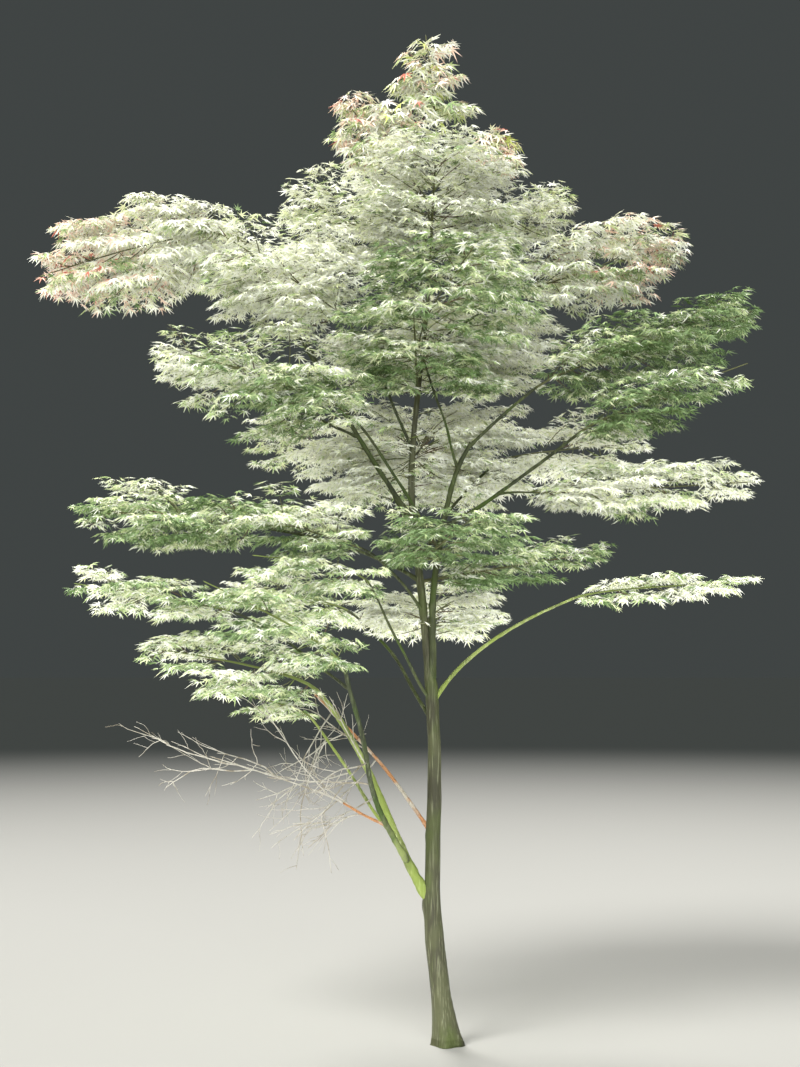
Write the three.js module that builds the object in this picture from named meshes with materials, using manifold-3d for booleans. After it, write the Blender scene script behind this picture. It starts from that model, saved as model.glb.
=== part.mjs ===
// A variegated Japanese maple, a small open-grown garden tree about 4.4 m tall, in millimetres.
// +Z is up, +X is the photograph's right and +Y points away from the viewer. The origin is the middle
// of the flat cut under the trunk, at ground level.
//
// The trunk runs from its root flare up through the crown as one tapering leader. Slim boughs leave it
// at wide angles, each a single tapering limb. Every bough carries one flat, cloud-like tier of foliage
// at its tip, and the smallest tiers near the top sit on the leader itself.
//
// A tier is one solid: a stem, pairs of side twigs in the tier's plane as the species has them, and
// broad three-lobed leaves, each of which stands for a spray of small leaves. It keeps to its own space.

import * as THREE from "three";
import { mergeVertices } from "three/addons/utils/BufferGeometryUtils.js";
import Module from "manifold-3d";

const wasm = await Module();
wasm.setup();

// Trunk: how far its middle has wandered to the right and away, by height
const TRUNK_TOP = 3880;
const TRUNK_LINE = [
  [0, 0, 0],
  [350, -43, 6],
  [600, -62, 8],
  [1280, -54, -8],
  [1840, -100, 8],
  [2400, -150, 24],
  [3200, -78, 8],
  [3600, -57, 2],
  [TRUNK_TOP, -38, -2],
];
const TRUNK_RADIUS = 43;
const TAPER_HEIGHT = 4700; // the height at which the taper would reach nothing
const TAPER_POWER = 1.15;
const FORKS = [
  { height: 620, share: 0.92 }, // the trunk keeps this share of its radius above each fork
  { height: 1560, share: 0.78 },
];
const FORK_BLEND = 60; // half the height over which a fork's step is spread
const FLARE = { radius: 24, fall: 85, lobes: 4, depth: 0.35, turn: 0.9 };
const TRUNK_SIDES = 12;
const TRUNK_RINGS = 26;

// Boughs
const BOUGH_SIDES = 6;
const BOUGH_RINGS = 8;
const SWAY = 0.012; // sideways wander of a bough, as a share of its length
const GAP = 0.3; // clearance where one solid meets another

// Foliage
const STEM_SIDES = 4;
const STEM_RINGS = 3;
const STEM_SHARE = 0.86; // of a tier's length that its stem runs
const ROOT_INSET = 0.42; // distance from a tier's root to its middle, as a share of its length
const STEM_HANDLE = 0.14; // length of the bend from the bough's direction into the tier's
const STEM_ROOT = 8; // radius, to the stem's corners
const STEM_TIP = 5;
const TWIG_RADIUS = 3.6; // at its root, to its corners
const FORK_TWIG_RADIUS = 1.5; // of a bare twig's side shoots
const STALK_TAPER = 0.8; // a twig's radius at its end leaf, as a share of that at its root
const PAIR_SPACING = 174; // along the stem, between pairs of side twigs
const FIRST_PAIR = 0.12; // of the stem's length
const FIRST_PAIR_ON_TRUNK = 0.22;
const TWIG_ANGLES = [76, 36]; // from the stem, at its root and at its tip
const ANGLE_JITTER = 16;
const TWIG_LIFT = 1.3; // how far side twigs leave the tier's plane, times its depth over its width
const TWIG_REACH = [0.84, 0.98]; // of the way to the edge of the tier's space
const LONGEST_TWIG = 0.62; // of the tier's length
const LEAF_LENGTH = 330;
const LEAF_SHARE = 0.42; // the longest leaf, as a share of the tier's length
const LEAF_WIDTH = 0.48; // half the width across, as a share of the length
const LEAF_WIDEST = 0.52; // of the length from the root
const LEAF_THICKNESS = 0.02; // at its middle, as a share of its length
const LEAF_DROOPS = [18, 46]; // the least and the most that a leaf hangs, in degrees
const LEAF_ANGLE = 52; // between a twig and a side leaf
const LEAF_ROLL = 60; // the range that leaves are turned through about their own length
const LEAF_TRIES = 12; // before a leaf is skipped
const SHORTEST_LEAF = 0.45; // the last length tried, as a share of the first
const SIDE_LEAF_AT = 0.45; // of a side twig's length
const SPACE_MARGIN = 8; // kept free inside each tier's border
const FLATNESS = 2.4; // heights count this much more than widths when spaces are shared out
const LIMB_MARGIN = 14; // kept free round limbs and the stems of other tiers

const limbs = new Map(); // by name, each with at(t), along(t) and radius(t), and grown() with the gap
const group = new THREE.Group();

const radians = (degrees) => (degrees * Math.PI) / 180;
const mix = (a, b, t) => a + (b - a) * t;
const mixPoint = (a, b, t) => a.clone().lerp(b, t);
const squareTo = (v, along) => v.clone().addScaledVector(along, -v.dot(along)).normalize();

// A direction: heading 0 is +X and 90 is +Y, and climb is above the level.
function towards(heading, climb) {
  const level = Math.cos(radians(climb));
  return new THREE.Vector3(
    Math.cos(radians(heading)) * level,
    Math.sin(radians(heading)) * level,
    Math.sin(radians(climb)),
  );
}

// The same number from 0 to 1 each time, for a seed and a count.
function chance(seed, count) {
  let h = Math.imul(seed + 1, 0x85ebca6b) ^ Math.imul(count + 1, 0xc2b2ae35);
  h = Math.imul(h ^ (h >>> 15), 0x2c1b3c6d);
  h = Math.imul(h ^ (h >>> 12), 0x297a2d39);
  return ((h ^ (h >>> 15)) >>> 0) / 4294967296;
}

// A smooth line through [height, right, away] rows: a cubic between each two, with slopes from the
// rows on both sides.
function trunkPoint(height) {
  const rows = TRUNK_LINE;
  let k = 0;
  while (k < rows.length - 2 && height > rows[k + 1][0]) k++;
  const slope = (i, axis) => {
    const before = rows[Math.max(i - 1, 0)];
    const after = rows[Math.min(i + 1, rows.length - 1)];
    return (after[axis] - before[axis]) / (after[0] - before[0]);
  };
  const span = rows[k + 1][0] - rows[k][0];
  const t = (height - rows[k][0]) / span;
  const along = (axis) =>
    rows[k][axis] * (2 * t ** 3 - 3 * t ** 2 + 1) +
    slope(k, axis) * span * (t ** 3 - 2 * t ** 2 + t) +
    rows[k + 1][axis] * (3 * t ** 2 - 2 * t ** 3) +
    slope(k + 1, axis) * span * (t ** 3 - t ** 2);
  return new THREE.Vector3(along(1), along(2), height);
}

// Plain taper, with a step down above each fork
function trunkRadius(height) {
  let radius = TRUNK_RADIUS * (1 - height / TAPER_HEIGHT) ** TAPER_POWER;
  for (const fork of FORKS) {
    const passed = (height - fork.height) / FORK_BLEND;
    radius *= mix(1, fork.share, THREE.MathUtils.smoothstep(passed, -1, 1));
  }
  return radius;
}

// Spreading roots swell the foot in a few lobes.
function flareAt(height, angle) {
  const lobes = 1 + FLARE.depth * Math.cos(FLARE.lobes * angle + FLARE.turn);
  return FLARE.radius * Math.exp(-height / FLARE.fall) * lobes;
}

function solidFrom(positions, triangles) {
  const geometry = new THREE.BufferGeometry();
  geometry.setAttribute("position", new THREE.Float32BufferAttribute(positions, 3));
  geometry.setIndex(triangles);
  const merged = mergeVertices(geometry, 1e-3);
  return new wasm.Manifold(
    new wasm.Mesh({
      numProp: 3,
      vertProperties: merged.attributes.position.array,
      triVerts: new Uint32Array(merged.index.array),
    }),
  );
}

// A closed tube round a line of rings, each { middle, along, radius(angle) }, with flat ends.
// The rings' sides are carried along the line without twist.
function tube(rings, sides) {
  const positions = [];
  const triangles = [];
  const side = new THREE.Vector3(1, 0, 0);
  if (Math.abs(rings[0].along.x) > 0.9) side.set(0, 1, 0);
  rings.forEach(({ middle, along, radius }) => {
    side.addScaledVector(along, -side.dot(along)).normalize();
    const up = along.clone().cross(side);
    for (let i = 0; i < sides; i++) {
      const angle = (2 * Math.PI * i) / sides;
      const point = middle
        .clone()
        .addScaledVector(side, Math.cos(angle) * radius(angle))
        .addScaledVector(up, Math.sin(angle) * radius(angle));
      positions.push(...point.toArray());
    }
  });
  for (let k = 0; k < rings.length - 1; k++) {
    for (let i = 0; i < sides; i++) {
      const [a, b] = [k * sides + i, k * sides + ((i + 1) % sides)];
      triangles.push(a, b, b + sides, a, b + sides, a + sides);
    }
  }
  const last = (rings.length - 1) * sides;
  for (let i = 1; i < sides - 1; i++) {
    triangles.push(0, i + 1, i, last, last + i, last + i + 1);
  }
  return solidFrom(positions, triangles);
}

// A limb's tube, grown by "extra" all round
function limbTube(limb, ringCount, sides, extra = 0) {
  const rings = [];
  for (let k = 0; k <= ringCount; k++) {
    const t = k / ringCount;
    rings.push({ middle: limb.at(t), along: limb.along(t), radius: () => limb.radius(t) + extra });
  }
  return tube(rings, sides);
}

function trunkTube(extra = 0) {
  const rings = [];
  for (let k = 0; k <= TRUNK_RINGS; k++) {
    const height = TRUNK_TOP * (k / TRUNK_RINGS) ** 1.25; // closer rings in the root flare
    const [below, above] = [trunkPoint(Math.max(height - 20, 0)), trunkPoint(height + 20)];
    const along = k === 0 ? new THREE.Vector3(0, 0, 1) : above.sub(below).normalize();
    rings.push({
      middle: trunkPoint(height),
      along,
      radius: (angle) => trunkRadius(height) + flareAt(height, angle) + extra,
    });
  }
  return tube(rings, TRUNK_SIDES);
}

function addMesh(name, solid, material) {
  const { numProp, numVert, vertProperties, triVerts } = solid.getMesh();
  const positions = new Float32Array(numVert * 3);
  for (let i = 0; i < numVert; i++) {
    positions.set(vertProperties.subarray(i * numProp, i * numProp + 3), i * 3);
  }
  const geometry = new THREE.BufferGeometry();
  geometry.setAttribute("position", new THREE.BufferAttribute(positions, 3));
  geometry.setIndex(new THREE.BufferAttribute(triVerts, 1));
  const mesh = new THREE.Mesh(geometry, material);
  mesh.name = name;
  group.add(mesh);
}

const finish = (color, roughness) =>
  new THREE.MeshStandardMaterial({ color, roughness, metalness: 0 });
const LOWER_BARK = finish(0x6f7358, 0.85);
const GREEN_BARK = finish(0x6a7a3a, 0.75);
const DEAD_BARK = finish(0xa8835e, 0.9);
const DEAD_TWIGS = finish(0xb9b3a6, 0.9);
const WHITE_LEAVES = finish(0xe6ead2, 0.6);
const SAGE_LEAVES = finish(0xa3b593, 0.6);
const BLUSH_LEAVES = finish(0xeed9c6, 0.6);

limbs.set("trunk", {
  at: (t) => trunkPoint(t * TRUNK_TOP),
  along: (t) =>
    trunkPoint(t * TRUNK_TOP + 20)
      .sub(trunkPoint(t * TRUNK_TOP - 20))
      .normalize(),
  radius: (t) => trunkRadius(t * TRUNK_TOP),
  grown: () => trunkTube(GAP),
});

// Where a limb passes a height
function shareAtHeight(limb, height) {
  let [low, high] = [0, 1];
  for (let i = 0; i < 40; i++) {
    const middle = (low + high) / 2;
    if (limb.at(middle).z < height) low = middle;
    else high = middle;
  }
  return (low + high) / 2;
}

// One tapering limb. It leaves limb "on" at that height, and goes its reach and rise in its heading,
// on a curve that starts and ends at the two climbs. The radii are at its two ends.
const BOUGHS = [];
function bough(name, size) {
  const parent = limbs.get(size.on);
  const start = parent.at(shareAtHeight(parent, size.height));
  const level = towards(size.heading, 0);
  const end = start.clone().addScaledVector(level, size.reach).setZ(start.z + size.rise);
  const third = start.distanceTo(end) / 3;
  const first = start.clone().addScaledVector(towards(size.heading, size.climbs[0]), third);
  const second = end.clone().addScaledVector(towards(size.heading, size.climbs[1]), -third);
  const curve = new THREE.CubicBezierCurve3(start, first, second, end);
  const across = towards(size.heading + 90, 0);
  const phase = 2 * Math.PI * chance(BOUGHS.length, 0);
  const sway = (t) => 3 * third * SWAY * 4 * t * (1 - t) * Math.sin(3 * Math.PI * t + phase);
  const at = (t) => curve.getPoint(t).addScaledVector(across, sway(t));
  const along = (t) => {
    if (t >= 1) return towards(size.heading, size.climbs[1]);
    return at(Math.min(t + 0.01, 1)).sub(at(Math.max(t - 0.01, 0))).normalize();
  };
  const limb = { at, along, radius: (t) => mix(size.radii[0], size.radii[1], t ** 0.8) };
  limb.grown = () => limbTube(limb, BOUGH_RINGS, BOUGH_SIDES, GAP);
  limbs.set(name, limb);
  BOUGHS.push({ name, limb, on: size.on });
}

bough("bough_low_left", { on: "trunk", height: 583, heading: 178, reach: 500, rise: 910,
  climbs: [56, 46], radii: [23, 9] });
bough("bough_low_dark", { on: "bough_low_left", height: 760, heading: 238, reach: 490, rise: 820,
  climbs: [36, 66], radii: [14, 8] });
bough("bough_low_thin", { on: "bough_low_left", height: 850, heading: 157, reach: 420, rise: 520,
  climbs: [42, 46], radii: [8, 5] });
bough("bough_low_outer", { on: "bough_low_dark", height: 1500, heading: 150, reach: 600, rise: 330,
  climbs: [32, 16], radii: [6.5, 4.5] });
bough("bough_inner_left", { on: "trunk", height: 1440, heading: 214, reach: 320, rise: 500,
  climbs: [48, 56], radii: [7, 4.5] });
bough("bough_low_right", { on: "trunk", height: 1430, heading: 2, reach: 620, rise: 460,
  climbs: [62, 22], radii: [10, 5] });
bough("bough_low_back", { on: "trunk", height: 1350, heading: 128, reach: 620, rise: 500,
  climbs: [48, 22], radii: [9, 5] });
bough("bough_left", { on: "trunk", height: 1960, heading: 186, reach: 700, rise: 230,
  climbs: [34, 8], radii: [9, 5] });
bough("bough_left_inner", { on: "trunk", height: 1830, heading: 217, reach: 330, rise: 260,
  climbs: [46, 18], radii: [7, 4.5] });
bough("bough_right_stem", { on: "trunk", height: 1506, heading: 330, reach: 200, rise: 1044,
  climbs: [86, 55], radii: [18, 9] });
bough("bough_right_high", { on: "bough_right_stem", height: 2525, heading: 5, reach: 300, rise: 270,
  climbs: [46, 38], radii: [7.5, 5.5] });
bough("bough_upper_front", { on: "bough_right_stem", height: 2440, heading: 226, reach: 230, rise: 470,
  climbs: [66, 58], radii: [6, 4] });
bough("bough_right_mid", { on: "bough_right_stem", height: 2190, heading: 347, reach: 600, rise: 400,
  climbs: [26, 36], radii: [10, 6] });
bough("bough_right_tier", { on: "bough_right_mid", height: 2330, heading: 12, reach: 170, rise: 12,
  climbs: [14, 0], radii: [5.5, 4] });
bough("bough_front_left", { on: "bough_right_stem", height: 2100, heading: 206, reach: 430, rise: 560,
  climbs: [52, 40], radii: [8.5, 5] });
bough("bough_left_big", { on: "trunk", height: 2220, heading: 182, reach: 740, rise: 1230,
  climbs: [56, 60], radii: [12, 6] });
bough("bough_upper_left", { on: "bough_left_big", height: 2820, heading: 138, reach: 230, rise: 390,
  climbs: [58, 62], radii: [6, 4.5] });
bough("bough_mid_left", { on: "bough_left_big", height: 2590, heading: 196, reach: 400, rise: 170,
  climbs: [22, 24], radii: [7, 5] });
bough("bough_upper_inner", { on: "trunk", height: 2530, heading: 221, reach: 340, rise: 500,
  climbs: [62, 48], radii: [7, 4.5] });
bough("bough_upper_right", { on: "trunk", height: 2960, heading: 3, reach: 400, rise: 260,
  climbs: [40, 26], radii: [6.5, 4.5] });
bough("bough_back_left", { on: "trunk", height: 2120, heading: 120, reach: 440, rise: 440,
  climbs: [52, 24], radii: [9, 5] });
bough("bough_back_right", { on: "trunk", height: 2040, heading: 48, reach: 580, rise: 500,
  climbs: [50, 24], radii: [9, 5] });
bough("bough_dead", { on: "trunk", height: 873, heading: 163, reach: 540, rise: 600,
  climbs: [56, 42], radii: [9, 5] });
bough("bough_dead_side", { on: "bough_low_dark", height: 930, heading: 166, reach: 190, rise: 90,
  climbs: [20, 30], radii: [6, 4.5] });

// Foliage tiers. Each grows from its bough's tip, or from the trunk at a height. Its size is its
// length from root to tip, its width and its depth, and tilt is how far its tip is raised.
const MASSES = [];
function mass(name, size) {
  const limb = limbs.get(size.on);
  const share = size.height ? shareAtHeight(limb, size.height) : 1;
  const along = towards(size.heading, size.tilt);
  const across = towards(size.heading + 90, 0);
  const thick = along.clone().cross(across);
  const root = limb.at(share);
  if (share === 1) root.addScaledVector(limb.along(1), GAP);
  const [length, width, depth] = size.size;
  const middle = root.clone().addScaledVector(along, ROOT_INSET * length);
  const start = share === 1 ? limb.along(1) : along;
  const bend = root.clone().addScaledVector(start, STEM_HANDLE * length);
  const tip = root.clone().addScaledVector(along, STEM_SHARE * length);
  const curve = new THREE.QuadraticBezierCurve3(root, bend, tip);
  const thickness = share === 1 ? limb.radius(1) : Math.min(STEM_ROOT, limb.radius(share));
  MASSES.push({
    name,
    on: size.on,
    bare: size.bare,
    material: size.material ?? WHITE_LEAVES,
    seed: MASSES.length + 1,
    frame: { along, across, thick },
    half: { length: length / 2, width: width / 2, depth: depth / 2 },
    length,
    middle,
    // Compared by powers of distance, so that the border of two spaces is a plane
    weight: ((length + width + FLATNESS * depth) / 6) ** 2,
    onTrunk: share !== 1,
    stem: {
      at: (t) => curve.getPoint(t),
      along: (t) => (t === 0 ? start.clone() : curve.getTangent(t)),
      radius: (t) => mix(thickness, STEM_TIP, t),
    },
  });
}

mass("leaves_low_left", { on: "bough_low_left", heading: 183, tilt: 14, size: [880, 880, 460] });
mass("leaves_low_front", { on: "bough_low_dark", heading: 205, tilt: 30, size: [800, 800, 440],
  material: SAGE_LEAVES });
mass("leaves_low_under", { on: "bough_low_thin", heading: 165, tilt: 14, size: [600, 580, 270] });
mass("leaves_low_outer", { on: "bough_low_outer", heading: 180, tilt: 10, size: [780, 800, 360] });
mass("leaves_inner_left", { on: "bough_inner_left", heading: 215, tilt: 10, size: [660, 720, 400],
  material: SAGE_LEAVES });
mass("leaves_low_right", { on: "bough_low_right", heading: 0, tilt: 5, size: [880, 620, 220] });
mass("leaves_low_back", { on: "bough_low_back", heading: 128, tilt: 10, size: [900, 900, 440] });
mass("leaves_left", { on: "bough_left", heading: 182, tilt: 6, size: [880, 860, 420],
  material: SAGE_LEAVES });
mass("leaves_left_inner", { on: "bough_left_inner", heading: 206, tilt: 14, size: [720, 820, 460],
  material: SAGE_LEAVES });
mass("leaves_right_high", { on: "bough_right_high", heading: 4, tilt: 20, size: [1180, 900, 480],
  material: SAGE_LEAVES });
mass("leaves_upper_front", { on: "bough_upper_front", heading: 286, tilt: 22, size: [860, 980, 600],
  material: SAGE_LEAVES });
mass("leaves_right_mid", { on: "bough_right_mid", heading: 356, tilt: 22, size: [880, 780, 400],
  material: SAGE_LEAVES });
mass("leaves_right_tier", { on: "bough_right_tier", heading: 2, tilt: 3, size: [1080, 800, 340] });
mass("leaves_front_left", { on: "bough_front_left", heading: 212, tilt: 14, size: [820, 940, 560],
  material: SAGE_LEAVES });
mass("leaves_upper_left", { on: "bough_left_big", heading: 178, tilt: -9, size: [1060, 980, 560],
  material: BLUSH_LEAVES });
mass("leaves_upper_left_back", { on: "bough_upper_left", heading: 110, tilt: 30, size: [780, 900, 600] });
mass("leaves_mid_left", { on: "bough_mid_left", heading: 184, tilt: 22, size: [600, 800, 460] });
mass("leaves_upper_inner", { on: "bough_upper_inner", heading: 204, tilt: 30, size: [800, 900, 700] });
mass("leaves_upper_right", { on: "bough_upper_right", heading: 3, tilt: 18, size: [900, 900, 520],
  material: BLUSH_LEAVES });
mass("leaves_back_left", { on: "bough_back_left", heading: 124, tilt: 12, size: [960, 920, 540] });
mass("leaves_back_right", { on: "bough_back_right", heading: 36, tilt: 10, size: [960, 980, 480] });
mass("leaves_back_low", { on: "trunk", height: 1760, heading: 84, tilt: 12, size: [1100, 760, 360] });
mass("leaves_front_low", { on: "trunk", height: 2040, heading: 286, tilt: 10, size: [880, 860, 290],
  material: SAGE_LEAVES });
mass("leaves_right_inner", { on: "trunk", height: 1960, heading: 18, tilt: 10, size: [1020, 700, 270],
  material: SAGE_LEAVES });
mass("leaves_back_mid", { on: "trunk", height: 2490, heading: 86, tilt: 12, size: [1260, 1300, 780] });
mass("leaves_back_high", { on: "trunk", height: 2920, heading: 80, tilt: 20, size: [1120, 1280, 760] });
mass("leaves_front_mid", { on: "trunk", height: 2780, heading: 268, tilt: 18, size: [880, 940, 440],
  material: SAGE_LEAVES });
mass("leaves_top_left", { on: "trunk", height: 3360, heading: 186, tilt: 26, size: [800, 860, 600] });
mass("leaves_top_right", { on: "trunk", height: 3400, heading: 4, tilt: 22, size: [760, 800, 560],
  material: BLUSH_LEAVES });
mass("leaves_top_front", { on: "trunk", height: 3320, heading: 272, tilt: 36, size: [740, 860, 600] });
mass("leaves_top_back", { on: "trunk", height: 3520, heading: 96, tilt: 38, size: [740, 820, 580] });
mass("leaves_crest_left", { on: "trunk", height: 3700, heading: 188, tilt: 42, size: [600, 620, 500],
  material: BLUSH_LEAVES });
mass("leaves_crest_right", { on: "trunk", height: 3640, heading: 354, tilt: 34, size: [470, 540, 440],
  material: BLUSH_LEAVES });
mass("leaves_crest_tip", { on: "trunk", heading: 150, tilt: 84, size: [600, 440, 440],
  material: BLUSH_LEAVES });
mass("twigs_dead", { on: "bough_dead_side", heading: 170, tilt: 18, size: [700, 600, 480],
  material: DEAD_TWIGS, bare: true });

// How far inside a mass's own space a point lies, in millimetres, and below zero outside. The space
// is an ellipsoid, cut by a plane towards each neighbour.
const METRIC = new THREE.Vector3(1, 1, FLATNESS);
function insideOwnSpace(own, point) {
  const offset = point.clone().sub(own.middle);
  const { along, across, thick } = own.frame;
  const { length, width, depth } = own.half;
  const scaled = Math.hypot(
    offset.dot(along) / length,
    offset.dot(across) / width,
    offset.dot(thick) / depth,
  );
  let inside = (1 - scaled) * Math.min(length, width, depth);
  const power = (other) =>
    point.clone().sub(other.middle).multiply(METRIC).lengthSq() - other.weight;
  for (const other of MASSES) {
    if (other === own) continue;
    const slope = own.middle.clone().sub(other.middle).multiply(METRIC).multiply(METRIC);
    inside = Math.min(inside, (power(other) - power(own)) / (2 * slope.length()));
  }
  return inside;
}

// Rows of points and radii along every limb and stem, for the test of what touches them
const CHECKED = [];
function checkAlong(name, limb, steps) {
  for (let k = 0; k <= steps; k++) {
    CHECKED.push({ name, middle: limb.at(k / steps), radius: limb.radius(k / steps) });
  }
}
checkAlong("trunk", limbs.get("trunk"), 160);
BOUGHS.forEach(({ name, limb }) => checkAlong(name, limb, 40));
MASSES.forEach((m) => checkAlong(m.name, m.stem, 16));

function touchesLimb(own, points) {
  return points.some((point) =>
    CHECKED.some(
      ({ name, middle, radius }) =>
        name !== own.name && middle.distanceTo(point) < radius + LIMB_MARGIN,
    ),
  );
}

function fits(own, points) {
  return points.every((p) => insideOwnSpace(own, p) > SPACE_MARGIN) && !touchesLimb(own, points);
}

// Points every 20 mm or so along a line
function pointsBetween(a, b) {
  const count = Math.ceil(a.distanceTo(b) / 20);
  return Array.from({ length: count + 1 }, (_, i) => mixPoint(a, b, i / count));
}

// How far a ray from inside a mass's space runs until it leaves it
function roomAlong(own, from, direction) {
  let far = 0;
  const step = 20;
  while (insideOwnSpace(own, from.clone().addScaledVector(direction, far + step)) > SPACE_MARGIN) {
    far += step;
  }
  return far;
}

// A three-sided ring round a middle, with its first corner towards "face"
function ringOfThree(middle, along, face, radius) {
  const side = along.clone().cross(face);
  return [0, 1, 2].map((i) => {
    const angle = (2 * Math.PI * i) / 3;
    return middle
      .clone()
      .addScaledVector(face, Math.cos(angle) * radius)
      .addScaledVector(side, Math.sin(angle) * radius);
  });
}

// A bare twig is a slender three-sided spike.
function spike(from, to, radius) {
  const along = to.clone().sub(from).normalize();
  const face = squareTo(new THREE.Vector3(0, 0, 1), along);
  const positions = [...ringOfThree(from, along, face, radius), to].flatMap((p) => p.toArray());
  return solidFrom(positions, [0, 2, 1, 0, 1, 3, 1, 2, 3, 2, 0, 3]);
}

// A thin pointed blade, widest past its middle and thickest there, on a three-sided stalk from "from"
// to the blade's root. The blade's corners are left, tip and right, with a point above and one below.
function stalkWithBlade(from, blade, radius) {
  const along = blade.root.clone().sub(from).normalize();
  const ends = [
    ...ringOfThree(from, along, squareTo(blade.face, along), radius),
    ...ringOfThree(blade.root, blade.direction, blade.face, radius * STALK_TAPER),
  ];
  const middle = blade.root.clone().addScaledVector(blade.direction, LEAF_WIDEST * blade.length);
  const half = (LEAF_THICKNESS * blade.length) / 2;
  const above = middle.clone().addScaledVector(blade.face, half);
  const below = middle.clone().addScaledVector(blade.face, -half);
  const points = [...ends, ...bladeCorners(blade), above, below];
  const triangles = [0, 2, 1];
  for (let i = 0; i < 3; i++) {
    const next = (i + 1) % 3;
    triangles.push(i, next, next + 3, i, next + 3, i + 3);
  }
  // At the blade's root 3 is above, 4 right and 5 left. Then 6 is the left corner, 7 the tip, 8 the
  // right corner, 9 the middle above and 10 the middle below.
  triangles.push(3, 4, 8, 3, 8, 9, 8, 7, 9, 7, 6, 9, 6, 5, 3, 6, 3, 9);
  triangles.push(4, 5, 10, 5, 6, 10, 6, 7, 10, 7, 8, 10, 8, 4, 10);
  return solidFrom(points.flatMap((p) => p.toArray()), triangles);
}

// The same blade alone, with its root a point that is sunk in its carrier
function bladeSolid(blade) {
  const middle = blade.root.clone().addScaledVector(blade.direction, LEAF_WIDEST * blade.length);
  const half = (LEAF_THICKNESS * blade.length) / 2;
  const above = middle.clone().addScaledVector(blade.face, half);
  const below = middle.clone().addScaledVector(blade.face, -half);
  const points = [blade.root, ...bladeCorners(blade), above, below];
  const triangles = [];
  for (let i = 0; i < 4; i++) {
    const next = (i + 1) % 4;
    triangles.push(next, i, 4, i, next, 5);
  }
  return solidFrom(points.flatMap((p) => p.toArray()), triangles);
}

function bladeCorners({ root, direction, face, length }) {
  const across = direction.clone().cross(face);
  const wide = LEAF_WIDTH * length;
  const widest = root.clone().addScaledVector(direction, LEAF_WIDEST * length);
  return [
    widest.clone().addScaledVector(across, -wide),
    root.clone().addScaledVector(direction, length),
    widest.clone().addScaledVector(across, wide),
  ];
}

// Points along a blade's edges, across its widest place and along a fan of lines from its root,
// without the root itself
function pointsOnBlade(blade) {
  const { root } = blade;
  const [left, tip, right] = bladeCorners(blade);
  const rim = [left, mixPoint(left, tip, 0.5), tip, mixPoint(right, tip, 0.5), right];
  return [
    ...rim.flatMap((end) => pointsBetween(mixPoint(root, end, 0.2), end)),
    ...[left, right].flatMap((corner) => pointsBetween(corner, tip)),
    ...pointsBetween(left, right),
  ];
}

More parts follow.
